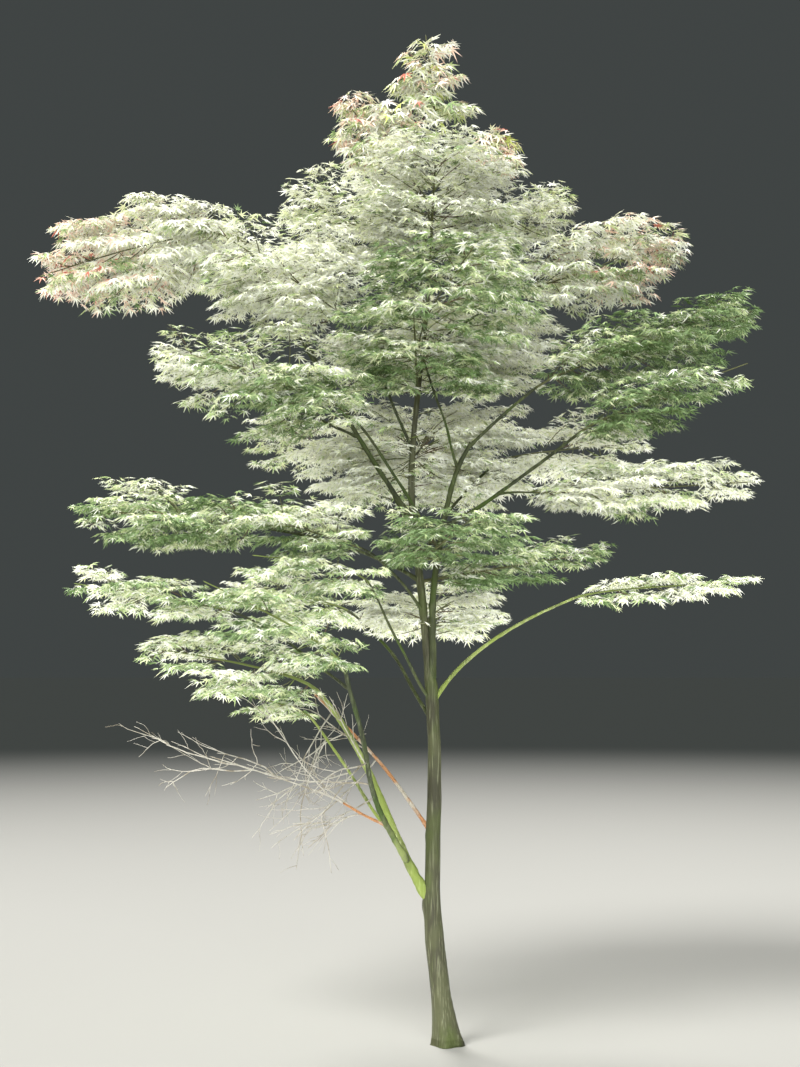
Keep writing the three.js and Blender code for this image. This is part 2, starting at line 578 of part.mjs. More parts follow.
// Side twigs leave the stem in opposite pairs. Each ends in a leaf and has one more beside its middle.
function growMass(own) {
  const { along, across, thick } = own.frame;
  const stem = limbTube(own.stem, STEM_RINGS, STEM_SIDES);
  const pieces = [stem];
  const first = own.onTrunk ? FIRST_PAIR_ON_TRUNK : FIRST_PAIR;
  const stemLength = own.stem.at(0).distanceTo(own.stem.at(1));
  const pairs = Math.max(2, Math.round((stemLength * (1 - first)) / PAIR_SPACING));
  const longestLeaf = Math.min(LEAF_LENGTH, LEAF_SHARE * own.length);
  const lift = (2 * TWIG_LIFT * own.half.depth) / own.half.width;
  let count = 0;
  const draw = () => chance(own.seed, count++);

  // Adds a piece that touches nothing but its carrier.
  const add = (piece, carrier) => {
    const clear = pieces.every((other) => other === carrier || other.intersect(piece).isEmpty());
    if (clear) pieces.push(piece);
    return clear ? piece : null;
  };

  // Tries leaf after leaf, each shorter, until one stays in the space and clear of the rest. With a
  // "from" the leaf ends a twig that starts there.
  const addLeaf = (root, direction, longest, carrier, from) => {
    for (let k = 0; k < LEAF_TRIES; k++) {
      const roll = radians((draw() - 0.5) * LEAF_ROLL);
      const heading = direction.clone();
      heading.z -= Math.sin(radians(mix(LEAF_DROOPS[0], LEAF_DROOPS[1], draw())));
      heading.normalize();
      const face = squareTo(thick, heading).applyAxisAngle(heading, roll);
      const length = longest * mix(1, SHORTEST_LEAF, k / (LEAF_TRIES - 1));
      const blade = { root, direction: heading, face, length };
      if (!fits(own, pointsOnBlade(blade))) continue;
      const leaf = add(from ? stalkWithBlade(from, blade, TWIG_RADIUS) : bladeSolid(blade), carrier);
      if (leaf) return leaf;
    }
    return null;
  };

  addLeaf(own.stem.at(0.98), own.stem.along(1), longestLeaf, stem);
  for (let k = 0; k < pairs; k++) {
    for (const hand of [-1, 1]) {
      const t = first + ((1 - first) * (k + 0.5 * draw())) / pairs;
      const from = own.stem.at(t);
      const spread = mix(TWIG_ANGLES[0], TWIG_ANGLES[1], t) + (draw() - 0.5) * ANGLE_JITTER;
      const direction = along
        .clone()
        .multiplyScalar(Math.cos(radians(spread)))
        .addScaledVector(across, hand * Math.sin(radians(spread)))
        .addScaledVector(thick, (draw() - 0.5) * lift)
        .normalize();
      const share = mix(TWIG_REACH[0], TWIG_REACH[1], draw());
      const leafLength = longestLeaf * mix(0.85, 1, draw());
      const room = Math.min(roomAlong(own, from, direction) * share, LONGEST_TWIG * own.length);
      const twigLength = own.bare ? room : Math.max(room - 0.8 * leafLength, 0.25 * leafLength);
      const to = from.clone().addScaledVector(direction, twigLength);
      if (!fits(own, pointsBetween(mixPoint(from, to, 0.35), to))) continue;
      const half = mixPoint(from, to, SIDE_LEAF_AT);
      const twig =
        (own.bare ? null : addLeaf(to, direction, leafLength, stem, from)) ??
        add(spike(from, to, TWIG_RADIUS), stem);
      if (!twig) continue;
      const turns = own.bare ? [-1, 1] : [hand * (k % 2 ? 1 : -1)];
      for (const turn of turns) {
        const side = direction.clone().applyAxisAngle(thick, radians(turn * LEAF_ANGLE));
        if (own.bare) {
          const end = half.clone().addScaledVector(side, twigLength * mix(0.3, 0.5, draw()));
          if (fits(own, pointsBetween(half, end))) add(spike(half, end, FORK_TWIG_RADIUS), twig);
        } else {
          addLeaf(half, side, leafLength * 0.95, twig);
        }
      }
    }
  }
  return wasm.Manifold.union(pieces);
}

// What fusing leaves loose is dropped.
function largestPart(solid) {
  return solid.decompose().sort((a, b) => b.volume() - a.volume())[0];
}

addMesh("trunk", trunkTube(), LOWER_BARK);
for (const { name, limb, on } of BOUGHS) {
  const whole = limbTube(limb, BOUGH_RINGS, BOUGH_SIDES);
  const cutters = [limbs.get(on).grown()];
  // The stem beside the trunk runs close to it, and its own boughs must clear the trunk too
  if (on !== "trunk") cutters.push(limbs.get("trunk").grown());
  const cut = cutters.reduce((rest, cutter) => rest.subtract(cutter), whole);
  addMesh(name, largestPart(cut), name.startsWith("bough_dead") ? DEAD_BARK : GREEN_BARK);
}
for (const own of MASSES) {
  let solid = growMass(own);
  if (own.onTrunk) solid = solid.subtract(limbs.get("trunk").grown());
  addMesh(own.name, largestPart(solid), own.material);
}

export default group;
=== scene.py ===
# %% [markdown]
# # A variegated maple, from its bark to its leaves
#
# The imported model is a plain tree: a trunk, twenty-four boughs, thirty-four masses of foliage and one
# of dead twigs, each a closed solid at its true size. This script keeps that tree as a fixed frame
# and dresses it. The trunk and boughs get bark in relief, and each mass becomes a stem with side
# twigs, fine twigs and small lobed leaves. They grow by the rule that shaped the solids, so they fill
# the same spaces.

import bpy
import numpy as np
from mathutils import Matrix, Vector


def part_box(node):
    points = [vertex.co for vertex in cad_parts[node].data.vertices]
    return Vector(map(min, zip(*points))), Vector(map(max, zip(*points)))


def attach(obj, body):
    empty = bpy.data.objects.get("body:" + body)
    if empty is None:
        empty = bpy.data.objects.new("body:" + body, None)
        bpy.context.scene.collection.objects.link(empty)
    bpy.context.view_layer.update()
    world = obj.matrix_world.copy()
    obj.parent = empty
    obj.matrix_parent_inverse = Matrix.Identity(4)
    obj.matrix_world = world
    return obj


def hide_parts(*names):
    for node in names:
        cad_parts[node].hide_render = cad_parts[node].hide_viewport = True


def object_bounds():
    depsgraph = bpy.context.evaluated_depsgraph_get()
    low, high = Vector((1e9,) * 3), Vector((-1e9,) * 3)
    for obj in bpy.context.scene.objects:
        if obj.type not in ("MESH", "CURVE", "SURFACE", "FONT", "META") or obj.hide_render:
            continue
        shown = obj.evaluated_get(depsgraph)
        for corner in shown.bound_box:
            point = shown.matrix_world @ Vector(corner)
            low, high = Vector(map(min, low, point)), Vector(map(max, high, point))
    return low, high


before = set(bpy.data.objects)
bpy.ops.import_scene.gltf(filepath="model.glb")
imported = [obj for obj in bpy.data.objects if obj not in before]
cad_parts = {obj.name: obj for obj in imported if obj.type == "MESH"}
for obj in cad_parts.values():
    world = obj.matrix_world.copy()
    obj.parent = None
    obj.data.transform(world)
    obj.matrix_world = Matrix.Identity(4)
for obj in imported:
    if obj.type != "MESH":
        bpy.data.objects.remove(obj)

CAD_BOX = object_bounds()
LOWEST, HIGHEST = (np.array(corner) for corner in CAD_BOX)
print(f"{len(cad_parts)} nodes in a box of {np.round(HIGHEST - LOWEST, 3)} m")

# %% [markdown]
# ## The camera
#
# The photograph was taken from about seven metres away, with the camera near head height and tipped
# up a little to take in the crown. A camera could be aimed with a constraint, but a plain place and
# turn are easier to read. The lens follows from the photograph: its focal length, as a count of
# pixels on the long side, gives the same share of the sensor.

# %% Camera
PHOTO_WIDE, PHOTO_HIGH = 800, 1067
FOCAL_PIXELS = 1621
SENSOR = 36.0
CAMERA_PLACE, CAMERA_TIPPED = (-0.2, -7.0, 1.6), 4.64


def add_to_scene(name, data):
    """A new object with a camera, a mesh or a lamp as its data, linked to the scene."""
    made = bpy.data.objects.new(name, data)
    bpy.context.scene.collection.objects.link(made)
    return made


camera_data = bpy.data.cameras.new("camera")
camera_data.sensor_width = SENSOR
camera_data.lens = SENSOR * FOCAL_PIXELS / max(PHOTO_WIDE, PHOTO_HIGH)
camera = add_to_scene("camera", camera_data)
camera.location = CAMERA_PLACE
camera.rotation_euler = (np.radians(90 + CAMERA_TIPPED), 0, 0)
bpy.context.scene.camera = camera
print(f"lens {camera_data.lens:.1f} mm")

# %% [markdown]
# ## Shader sums
#
# A shader is a graph of nodes, and a sum in it, such as 1 - mask, is a Math node with two links. Wiring
# dozens of those by hand hides what they mean. The small class below wraps one socket and overloads the
# operators, so that a mask can be written as a sum and the nodes appear behind it. Colours go through a
# Mix node instead, because a Math node would turn them grey.

# %% Wires
class Wire:
    """One socket of a material. A sum with it adds a Math node, and gives that node's result."""

    def __init__(self, finish, socket):
        self.finish = finish
        self.socket = socket

    def sum(self, operation, first, second=0.0):
        return self.finish.node("ShaderNodeMath", {"operation": operation}, {0: first, 1: second})

    def __add__(self, other):
        return self.sum("ADD", self, other)

    def __sub__(self, other):
        return self.sum("SUBTRACT", self, other)

    def __rsub__(self, other):
        return self.sum("SUBTRACT", other, self)

    def __mul__(self, other):
        return self.sum("MULTIPLY", self, other)

    __radd__ = __add__
    __rmul__ = __mul__

    def step(self, low, high):
        """0 below low, 1 above high, and a smooth rise between them."""
        sockets = {"Value": self, "From Min": low, "From Max": high}
        return self.finish.node("ShaderNodeMapRange", {"interpolation_type": "SMOOTHSTEP"}, sockets)


class Finish:
    """A material with a Principled shader, and the nodes that are added to it."""

    def __init__(self, name, **constants):
        self.material = bpy.data.materials.new(name)
        self.material.use_nodes = True
        self.tree = self.material.node_tree
        self.shader = self.tree.nodes["Principled BSDF"]
        self.set(**constants)

    def set(self, **sockets):
        """Gives the shader's sockets a value or a link. A blank in a socket's name is a _ here."""
        for name, value in sockets.items():
            self.fill(self.shader.inputs[name.replace("_", " ")], value)

    def fill(self, socket, value):
        if isinstance(value, Wire):
            self.tree.links.new(value.socket, socket)
        elif socket.type == "RGBA":
            socket.default_value = (*value[:3], 1)
        else:
            socket.default_value = value

    def node(self, kind, settings, sockets, output=0):
        """Adds a node: first its settings, then its sockets, each by name or number."""
        made = self.tree.nodes.new(kind)
        for name, value in settings.items():
            setattr(made, name, value)
        for key, value in sockets.items():
            self.fill(made.inputs[key], value)
        return Wire(self, made.outputs[output])

    def blend(self, share, first, second):
        return self.node("ShaderNodeMix", {"data_type": "RGBA"}, {0: share, 6: first, 7: second}, 2)

    def place(self, stretch):
        """The point on the piece, in metres, with each axis times its stretch."""
        here = self.node("ShaderNodeTexCoord", {}, {}, "Object")
        return self.node("ShaderNodeMapping", {}, {"Vector": here, "Scale": stretch})

    def noise(self, size, stretch=(1, 1, 1), detail=3.0):
        """Soft noise from 0 to 1 whose blots are about size metres across, before the stretch."""
        sockets = {"Vector": self.place(stretch), "Scale": 1 / size, "Detail": detail}
        return self.node("ShaderNodeTexNoise", {}, sockets)

    def bump(self, height, strength, distance):
        sockets = {"Strength": strength, "Distance": distance, "Height": height}
        self.set(Normal=self.node("ShaderNodeBump", {}, sockets))


# %% [markdown]
# ## Bark
#
# A young maple has thin smooth bark: olive green with grey, marked by pale upright streaks where it
# stretches, by small cross-wise pores, and by moss where rain runs down. An image could show this,
# but noise of several sizes does it with no seam, and a factor below one along Z draws its blots out
# into streaks. One recipe serves the trunk and the living boughs, and only the colours and the share
# of moss change.

# %% Living bark
def living_bark(name, skin, streak, shade, moss, moss_share, rooted=None):
    """Bark with colours in this order: its main one, the pale streaks, the dark blotches, the moss.
    Rooted is a colour and two heights: below the first the bark has that colour, above the second its
    own."""
    finish = Finish(name, Specular_IOR_Level=0.25)
    if rooted:
        height = finish.node("ShaderNodeSeparateXYZ", {}, {0: finish.place((1, 1, 1))}, 2)
        skin = finish.blend(height.step(*rooted[1:]), rooted[0], skin)
    blotches = finish.noise(0.09, (1, 1, 0.5)).step(0.42, 0.62)
    streaks = finish.noise(0.008, (1, 1, 0.06), 4.0).step(0.5, 0.72)
    pores = finish.noise(0.005, (0.35, 0.35, 1.6), 2.0).step(0.64, 0.74)
    mossy = finish.noise(0.16, (1, 1, 0.4), 5.0).step(0.66 - moss_share, 0.82 - moss_share)
    grain = finish.noise(0.003, (1, 1, 0.3), 4.0)
    color = finish.blend(blotches * 0.8, skin, shade)
    color = finish.blend(streaks * 0.7, color, streak)
    color = finish.blend(mossy * (0.55 + 0.45 * grain), color, moss)
    color = finish.blend(pores * 0.45, color, shade)
    finish.set(Base_Color=color, Roughness=0.62 + 0.3 * mossy * grain)
    finish.bump(grain * 0.5 + streaks * 0.35 + pores * 0.3 + mossy * grain * 0.6, 0.7, 0.002)
    return finish.material


TRUNK_BARK = living_bark(
    "trunk_bark", (0.066, 0.07, 0.034), (0.19, 0.198, 0.125), (0.036, 0.034, 0.021),
    (0.07, 0.092, 0.026), 0.17)
BOUGH_BARK = living_bark(
    "bough_bark", (0.055, 0.066, 0.025), (0.13, 0.15, 0.078), (0.021, 0.025, 0.013),
    (0.05, 0.084, 0.014), 0.14)
# At its root the dark limb takes the colour of the mossy limb it springs from, painted sunlight
# included.
DARK_BARK = living_bark(
    "dark_bark", (0.05, 0.062, 0.028), (0.14, 0.16, 0.09), (0.022, 0.026, 0.014),
    (0.045, 0.08, 0.014), 0.12, rooted=((0.19, 0.228, 0.074), 0.8, 1.06))
# The low limbs' bark: mossy, and partly painted sunlight, far brighter than the other boughs'. Below
# 0.66 m it darkens towards the trunk's colour.
MOSSY_SUNLIT_BARK = living_bark(
    "mossy_painted_sunlit_bark", (0.235, 0.285, 0.085), (0.47, 0.51, 0.27), (0.105, 0.125, 0.045),
    (0.215, 0.275, 0.06), 0.26, rooted=((0.112, 0.13, 0.05), 0.66, 0.92))
print("bark:", TRUNK_BARK.name, BOUGH_BARK.name, DARK_BARK.name, MOSSY_SUNLIT_BARK.name)

# %% [markdown]
# The dead limb has lost its green. Its wood is orange-brown where the bark has peeled and ash grey
# where it is weathered, with fine cracks along the grain. The dead twigs beyond it are bleached.

# %% Dead wood
def dead_wood(name, fresh, weathered, crack, grey_share):
    """Cracked wood between a fresh colour and a weathered one, by blots as long as a hand."""
    finish = Finish(name, Specular_IOR_Level=0.15)
    grey = finish.noise(0.07, (1, 1, 0.6)).step(0.62 - grey_share, 0.78 - grey_share)
    cracks = finish.noise(0.004, (1, 1, 0.08), 4.0).step(0.58, 0.68)
    fibre = finish.noise(0.002, (1, 1, 0.1), 3.0)
    color = finish.blend(grey, fresh, weathered)
    color = finish.blend(cracks * 0.8, color, crack)
    finish.set(Base_Color=color, Roughness=0.78 + 0.18 * fibre)
    finish.bump(fibre * 0.4 - cracks, 0.8, 0.0015)
    return finish.material


DEAD_BARK = dead_wood(
    "dead_bark", (0.37, 0.182, 0.085), (0.4, 0.36, 0.3), (0.11, 0.055, 0.03), 0.16)
DEAD_TWIG = dead_wood(
    "dead_twig_bark", (0.25, 0.22, 0.17), (0.42, 0.4, 0.355), (0.13, 0.11, 0.085), 0.26)
print("dead wood:", DEAD_BARK.name, DEAD_TWIG.name)

# %% [markdown]
# ## Leaf tones
#
# The leaves are variegated, white and cream with pale green and sage, and young leaves at the ends of
# the upper shoots are flushed with pink. Which of the green and white tones a spray gets is painted
# light: sprays of sunlit masses get the white ones and sprays of shaded masses the sage ones, partly
# also because leaves grown in the sun are paler. A pattern laid over thousands of joined leaves would
# be lost when the tree is used elsewhere, so each tone is a plain material of its own, and the script
# deals the tones out spray by spray. Half lobes of a second tone stand for the splashes on one leaf.

# %% Leaf and twig tones
TONES = {
    "deep": (0.112, 0.186, 0.06),
    "sage": (0.245, 0.35, 0.165),
    "pale": (0.44, 0.545, 0.265),
    "cream": (0.77, 0.8, 0.54),
    "white": (0.94, 0.945, 0.88),
    "blush": (0.86, 0.66, 0.56),
    "rose": (0.56, 0.18, 0.13),
    "lime": (0.61, 0.68, 0.21),
}
SPLASHES = {
    "deep": "sage", "sage": "pale", "pale": "white", "cream": "pale",
    "white": "cream", "blush": "white", "rose": "blush", "lime": "cream",
}
# The painted light below which a spray is deep, sage, pale and cream, and above which it is white
TONE_LIMITS = [0.1, 0.33, 0.55, 0.7]
# The painted sun and shade that a mass's leaf tones take: in full sun, in the open, under others, in
# the shade, in deep shade, and with young shoots, on the wings and in the crest
PAINTED_SUN_AND_SHADE = {
    "bright": 1.1, "sunlit": 0.98, "dappled": 0.64, "shaded": 0.39, "dim": 0.17, "young": 0.92,
    "crest": 0.88,
}
TWIG_TONES = {
    "olive": (0.105, 0.11, 0.045),
    "brown": (0.095, 0.062, 0.036),
    "moss": (0.145, 0.185, 0.05),
    "red": (0.26, 0.055, 0.035),
}
tone_names = list(TONES)
BLUSH, ROSE, LIME = (tone_names.index(name) for name in ("blush", "rose", "lime"))
SPLASH_OF = np.array([tone_names.index(SPLASHES[name]) for name in tone_names])
OLIVE, BROWN, MOSS, RED = range(len(TWIG_TONES))


def plain_finishes(kind, tones, roughness, specular):
    """A plain material for each tone, in the order of the table."""
    looks = {"Roughness": roughness, "Specular_IOR_Level": specular}
    return [
        Finish(f"{kind}_{name}", Base_Color=color, **looks).material for name, color in tones.items()]


leaf_finishes = plain_finishes("leaf", TONES, 0.55, 0.35)
twig_finishes = plain_finishes("twig", TWIG_TONES, 0.7, 0.3)
print(len(leaf_finishes), "leaf tones and", len(twig_finishes), "twig tones")

# %% [markdown]
# ## Lines and directions
#
# Everything on the tree follows lines, so a few short functions come first: a unit vector, a direction
# from a compass heading and a climb, and the mixing of two values. Each works on whole arrays.

# %% Directions
UP = np.array([0.0, 0.0, 1.0])
RIGHT = np.array([1.0, 0.0, 0.0])


def mix(first, second, share):
    """first + (second - first) · share."""
    return first + (second - first) * share


def unit(vectors):
    """Each vector over its length."""
    return vectors / np.linalg.norm(vectors, axis=-1, keepdims=True)


def square_to(vectors, ahead):
    """The part of each vector that is square to ahead, at length 1: v - (v · ahead) ahead."""
    return unit(vectors - (vectors * ahead).sum(-1, keepdims=True) * ahead)


def towards(heading, climb):
    """Heading turns from +X to +Y and climb is above the level: x = cos climb cos heading,
    y = cos climb sin heading, z = sin climb."""
    heading, climb = np.radians(heading), np.radians(climb)
    return np.array([np.cos(climb) * np.cos(heading), np.cos(climb) * np.sin(heading), np.sin(climb)])


def swung(first, second, angle):
    """For each angle, a direction that swings from the first towards the second, which is square to
    it: first · cos angle + second · sin angle."""
    angle = angle[:, None]
    return first * np.cos(angle) + second * np.sin(angle)


def chance(seed, count):
    """A number from 0 to 1 that never changes for a seed and a count: the two are multiplied by large
    odd numbers, and the high bits are folded down over the low ones."""
    whole = 0xFFFFFFFF
    h = ((seed + 1) * 0x85EBCA6B & whole) ^ ((count + 1) * 0xC2B2AE35 & whole)
    h = ((h ^ (h >> 15)) * 0x2C1B3C6D) & whole
    h = ((h ^ (h >> 12)) * 0x297A2D39) & whole
    return (h ^ (h >> 15)) / 2**32


# %% [markdown]
# ## The trunk's line
#
# The trunk wanders a little as it rises. A row for each height where its direction changes is enough,
# because a cubic between two rows passes smoothly from one to the next. Its radius is a plain taper
# with a small step above each fork, where the trunk has given part of its wood to a bough.

# %% Trunk line and radius
TRUNK_TOP = 3.88
TRUNK_LINE = np.array([
    [0, 0, 0],
    [0.35, -0.043, 0.006],
    [0.6, -0.062, 0.008],
    [1.28, -0.054, -0.008],
    [1.84, -0.1, 0.008],
    [2.4, -0.15, 0.024],
    [3.2, -0.078, 0.008],
    [3.6, -0.057, 0.002],
    [TRUNK_TOP, -0.038, -0.002],
])
TRUNK_RADIUS, TAPER_HEIGHT, TAPER_POWER = 0.043, 4.7, 1.15
FORKS = {0.62: 0.92, 1.56: 0.78}
FORK_BLEND = 0.06
FLARE_RADIUS, FLARE_FALL, FLARE_LOBES, FLARE_DEPTH, FLARE_TURN = 0.024, 0.085, 4, 0.35, 0.9


def trunk_point(height):
    """The trunk's middle: a cubic between two rows, whose slope at a row is that from the row before
    to the row after."""
    height = np.asarray(height, float)
    rows, last = TRUNK_LINE, len(TRUNK_LINE) - 1
    after = np.minimum(np.arange(last + 1) + 1, last)
    before = np.maximum(np.arange(last + 1) - 1, 0)
    slopes = (rows[after, 1:] - rows[before, 1:]) / (rows[after, :1] - rows[before, :1])
    k = np.clip(np.searchsorted(rows[:, 0], height) - 1, 0, last - 1)
    span = (rows[k + 1, 0] - rows[k, 0])[..., None]
    t = (height[..., None] - rows[k, :1]) / span
    level = (
        rows[k, 1:] * (2 * t**3 - 3 * t**2 + 1)
        + slopes[k] * span * (t**3 - 2 * t**2 + t)
        + rows[k + 1, 1:] * (3 * t**2 - 2 * t**3)
        + slopes[k + 1] * span * (t**3 - t**2)
    )
    return np.concatenate([level, height[..., None]], axis=-1)


def trunk_radius(height):
    """R (1 - h / H) to a power, times a smooth step at each fork."""
    radius = TRUNK_RADIUS * (1 - height / TAPER_HEIGHT) ** TAPER_POWER
    for fork, share in FORKS.items():
        passed = np.clip((height - fork) / (2 * FORK_BLEND) + 0.5, 0, 1)
        radius = radius * mix(1, share, passed * passed * (3 - 2 * passed))
    return radius


print(f"trunk {2000 * trunk_radius(0.0):.0f} mm thick at its foot, above the flare's start")

# %% [markdown]
# ## The boughs' lines
#
# A bough leaves its carrier at a height, covers a reach and a rise in one heading, and starts and ends
# at two climbs. That is exactly a cubic Bézier curve whose handles are a third of the distance long. A
# slight sideways sway keeps it from lying flat in one plane.

# %% Limbs
# The sideways sway as a share of a bough's length, and the power of its taper
SWAY, BOUGH_TAPER = 0.012, 0.8
# What is left between a bough's tip and the stem of its mass
GAP = 0.0003
HALVINGS = 40


class Limb:
    """A line with a thickness: at(t) and radius(t) for t from 0 at its root to 1 at its tip."""

    def __init__(self, at, radius, tip_direction):
        self.at = at
        self.radius = radius
        self.tip_direction = tip_direction

    def share_at(self, height):
        """Where the limb passes a height, by halving."""
        low, high = 0.0, 1.0
        for _ in range(HALVINGS):
            middle = (low + high) / 2
            if self.at(middle)[..., 2] < height:
                low = middle
            else:
                high = middle
        return (low + high) / 2


def bezier(points, t):
    """The curve of 3 or 4 points: each point times its Bernstein weight, such as 3 t (1 - t)²."""
    t = np.asarray(t, float)[..., None]
    weights = {
        3: ((1 - t) ** 2, 2 * t * (1 - t), t**2),
        4: ((1 - t) ** 3, 3 * t * (1 - t) ** 2, 3 * t**2 * (1 - t), t**3),
    }[len(points)]
    return sum(weight * point for weight, point in zip(weights, points))


def bough(number, carrier, height, heading, reach, rise, climbs, radii):
    """A Bézier curve with a sway of 4 t (1 - t) sin(3 π t + phase) to one side."""
    start = carrier.at(carrier.share_at(height))
    end = start + towards(heading, 0) * reach + UP * rise
    third = np.linalg.norm(end - start) / 3
    first = start + towards(heading, climbs[0]) * third
    second = end - towards(heading, climbs[1]) * third
    across = towards(heading + 90, 0)
    phase = 2 * np.pi * chance(number, 0)

    def at(t):
        t = np.asarray(t, float)
        sway = 3 * third * SWAY * 4 * t * (1 - t) * np.sin(3 * np.pi * t + phase)
        return bezier([start, first, second, end], t) + sway[..., None] * across

    return Limb(at, lambda t: mix(*radii, t**BOUGH_TAPER), towards(heading, climbs[1]))


# Carrier, height, heading, reach, rise, the climbs at root and tip, the radii at root and tip
BOUGHS = {
    "low_left": ("trunk", 0.583, 178, 0.5, 0.91, (56, 46), (0.023, 0.009)),
    "low_dark": ("low_left", 0.76, 238, 0.49, 0.82, (36, 66), (0.014, 0.008)),
    "low_thin": ("low_left", 0.85, 157, 0.42, 0.52, (42, 46), (0.008, 0.005)),
    "low_outer": ("low_dark", 1.5, 150, 0.6, 0.33, (32, 16), (0.0065, 0.0045)),
    "inner_left": ("trunk", 1.44, 214, 0.32, 0.5, (48, 56), (0.007, 0.0045)),
    "low_right": ("trunk", 1.43, 2, 0.62, 0.46, (62, 22), (0.01, 0.005)),
    "low_back": ("trunk", 1.35, 128, 0.62, 0.5, (48, 22), (0.009, 0.005)),
    "left": ("trunk", 1.96, 186, 0.7, 0.23, (34, 8), (0.009, 0.005)),
    "left_inner": ("trunk", 1.83, 217, 0.33, 0.26, (46, 18), (0.007, 0.0045)),
    "right_stem": ("trunk", 1.506, 330, 0.2, 1.044, (86, 55), (0.018, 0.009)),
    "right_high": ("right_stem", 2.525, 5, 0.3, 0.27, (46, 38), (0.0075, 0.0055)),
    "upper_front": ("right_stem", 2.44, 226, 0.23, 0.47, (66, 58), (0.006, 0.004)),
    "right_mid": ("right_stem", 2.19, 347, 0.6, 0.4, (26, 36), (0.01, 0.006)),
    "right_tier": ("right_mid", 2.33, 12, 0.17, 0.012, (14, 0), (0.0055, 0.004)),
    "front_left": ("right_stem", 2.1, 206, 0.43, 0.56, (52, 40), (0.0085, 0.005)),
    "left_big": ("trunk", 2.22, 182, 0.74, 1.23, (56, 60), (0.012, 0.006)),
    "upper_left": ("left_big", 2.82, 138, 0.23, 0.39, (58, 62), (0.006, 0.0045)),
    "mid_left": ("left_big", 2.59, 196, 0.4, 0.17, (22, 24), (0.007, 0.005)),
    "upper_inner": ("trunk", 2.53, 221, 0.34, 0.5, (62, 48), (0.007, 0.0045)),
    "upper_right": ("trunk", 2.96, 3, 0.4, 0.26, (40, 26), (0.0065, 0.0045)),
    "back_left": ("trunk", 2.12, 120, 0.44, 0.44, (52, 24), (0.009, 0.005)),
    "back_right": ("trunk", 2.04, 48, 0.58, 0.5, (50, 24), (0.009, 0.005)),
    "dead": ("trunk", 0.873, 163, 0.54, 0.6, (56, 42), (0.009, 0.005)),
    "dead_side": ("low_dark", 0.93, 166, 0.19, 0.09, (20, 30), (0.006, 0.0045)),
}
limbs = {
    "trunk": Limb(
        lambda t: trunk_point(np.asarray(t) * TRUNK_TOP),
        lambda t: trunk_radius(np.asarray(t) * TRUNK_TOP),
        unit(trunk_point(TRUNK_TOP + 0.02) - trunk_point(TRUNK_TOP - 0.02)),
    )
}
for number, (name, (on, *sizes)) in enumerate(BOUGHS.items()):
    limbs[name] = bough(number, limbs[on], *sizes)
for name in ("low_left", "left_big", "upper_right"):
    gap = np.linalg.norm(limbs[name].at(1.0) - np.array(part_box(f"bough_{name}")).mean(0))
    print(f"{name} ends {gap:.2f} m from the middle of its packed solid's box")

# %% [markdown]
# ## Tubes
#
# Trunk, boughs and twigs are all tubes round a line. A bevelled curve would give one, but not bark in
# relief, nor a thousand twigs in one mesh. So a tube is worked out as a grid: every ring on the line
# is a circle of points, and the first and last point of the line close its two ends.

# %% Tubes
def tube_points(lines, radii, sides, across=None):
    """Rings round lines of shape (tubes, points, 3). A ring's point is the line's point plus
    radius · (side · cos a + top · sin a), where side is across, made square to the line, and top is
    square to both. The radii are (tubes, rings) or (tubes, rings, sides)."""
    if across is None:
        across = np.cross(lines[:, -1] - lines[:, 0], UP) + 1e-9 * RIGHT
    ahead = unit(lines[:, 2:] - lines[:, :-2])
    side = square_to(np.broadcast_to(across[:, None], ahead.shape), ahead)
    top = np.cross(ahead, side)
    angle = 2 * np.pi * np.arange(sides) / sides
    round_ = (
        side[:, :, None] * np.cos(angle)[:, None] + top[:, :, None] * np.sin(angle)[:, None]
    )
    radii = radii[..., None] if radii.ndim == 2 else radii
    rings = lines[:, 1:-1, None] + radii[..., None] * round_
    rings = rings.reshape(len(lines), -1, 3)
    return np.concatenate([lines[:, :1], rings, lines[:, -1:]], axis=1)


def tube_triangles(rings, sides):
    """Two triangles for each place between two rings, and a fan at each end, all facing outwards."""
    side, beside = np.arange(sides), (np.arange(sides) + 1) % sides
    ring = 1 + sides * np.arange(rings - 1)[:, None]
    here, there = ring + side, ring + beside
    first = np.stack([here, there, there + sides], -1).reshape(-1, 3)
    second = np.stack([here, there + sides, here + sides], -1).reshape(-1, 3)
    last = 1 + sides * (rings - 1)
    root = np.stack([0 * side, 1 + beside, 1 + side], -1)
    tip = np.stack([0 * side + last + sides, last + side, last + beside], -1)
    return np.concatenate([first, second, root, tip])


def tube_part(lines, radii, sides, tone=0):
    """Tubes as joined() takes them. The radii are one row, from root to tip, for every tube."""
    rings = lines.shape[1] - 2
    radii = np.broadcast_to(radii, (len(lines), rings))
    return tube_points(lines, radii, sides), tube_triangles(rings, sides), tone


def joined(parts):
    """Many copies of small shapes as one mesh. A part is its points (copies, corners, 3), the
    triangles of one copy, and the tone of each triangle, which may be the same for all."""
    start, points, triangles, tones = 0, [], [], []
    for corners, shape, tone in parts:
        copies, each = corners.shape[:2]
        first = start + each * np.arange(copies)
        points.append(corners.reshape(-1, 3))
        triangles.append((first[:, None, None] + shape).reshape(-1, 3))
        tones.append(np.broadcast_to(tone, (copies, len(shape))).ravel())
        start += copies * each
    return np.concatenate(points), np.concatenate(triangles), np.concatenate(tones)


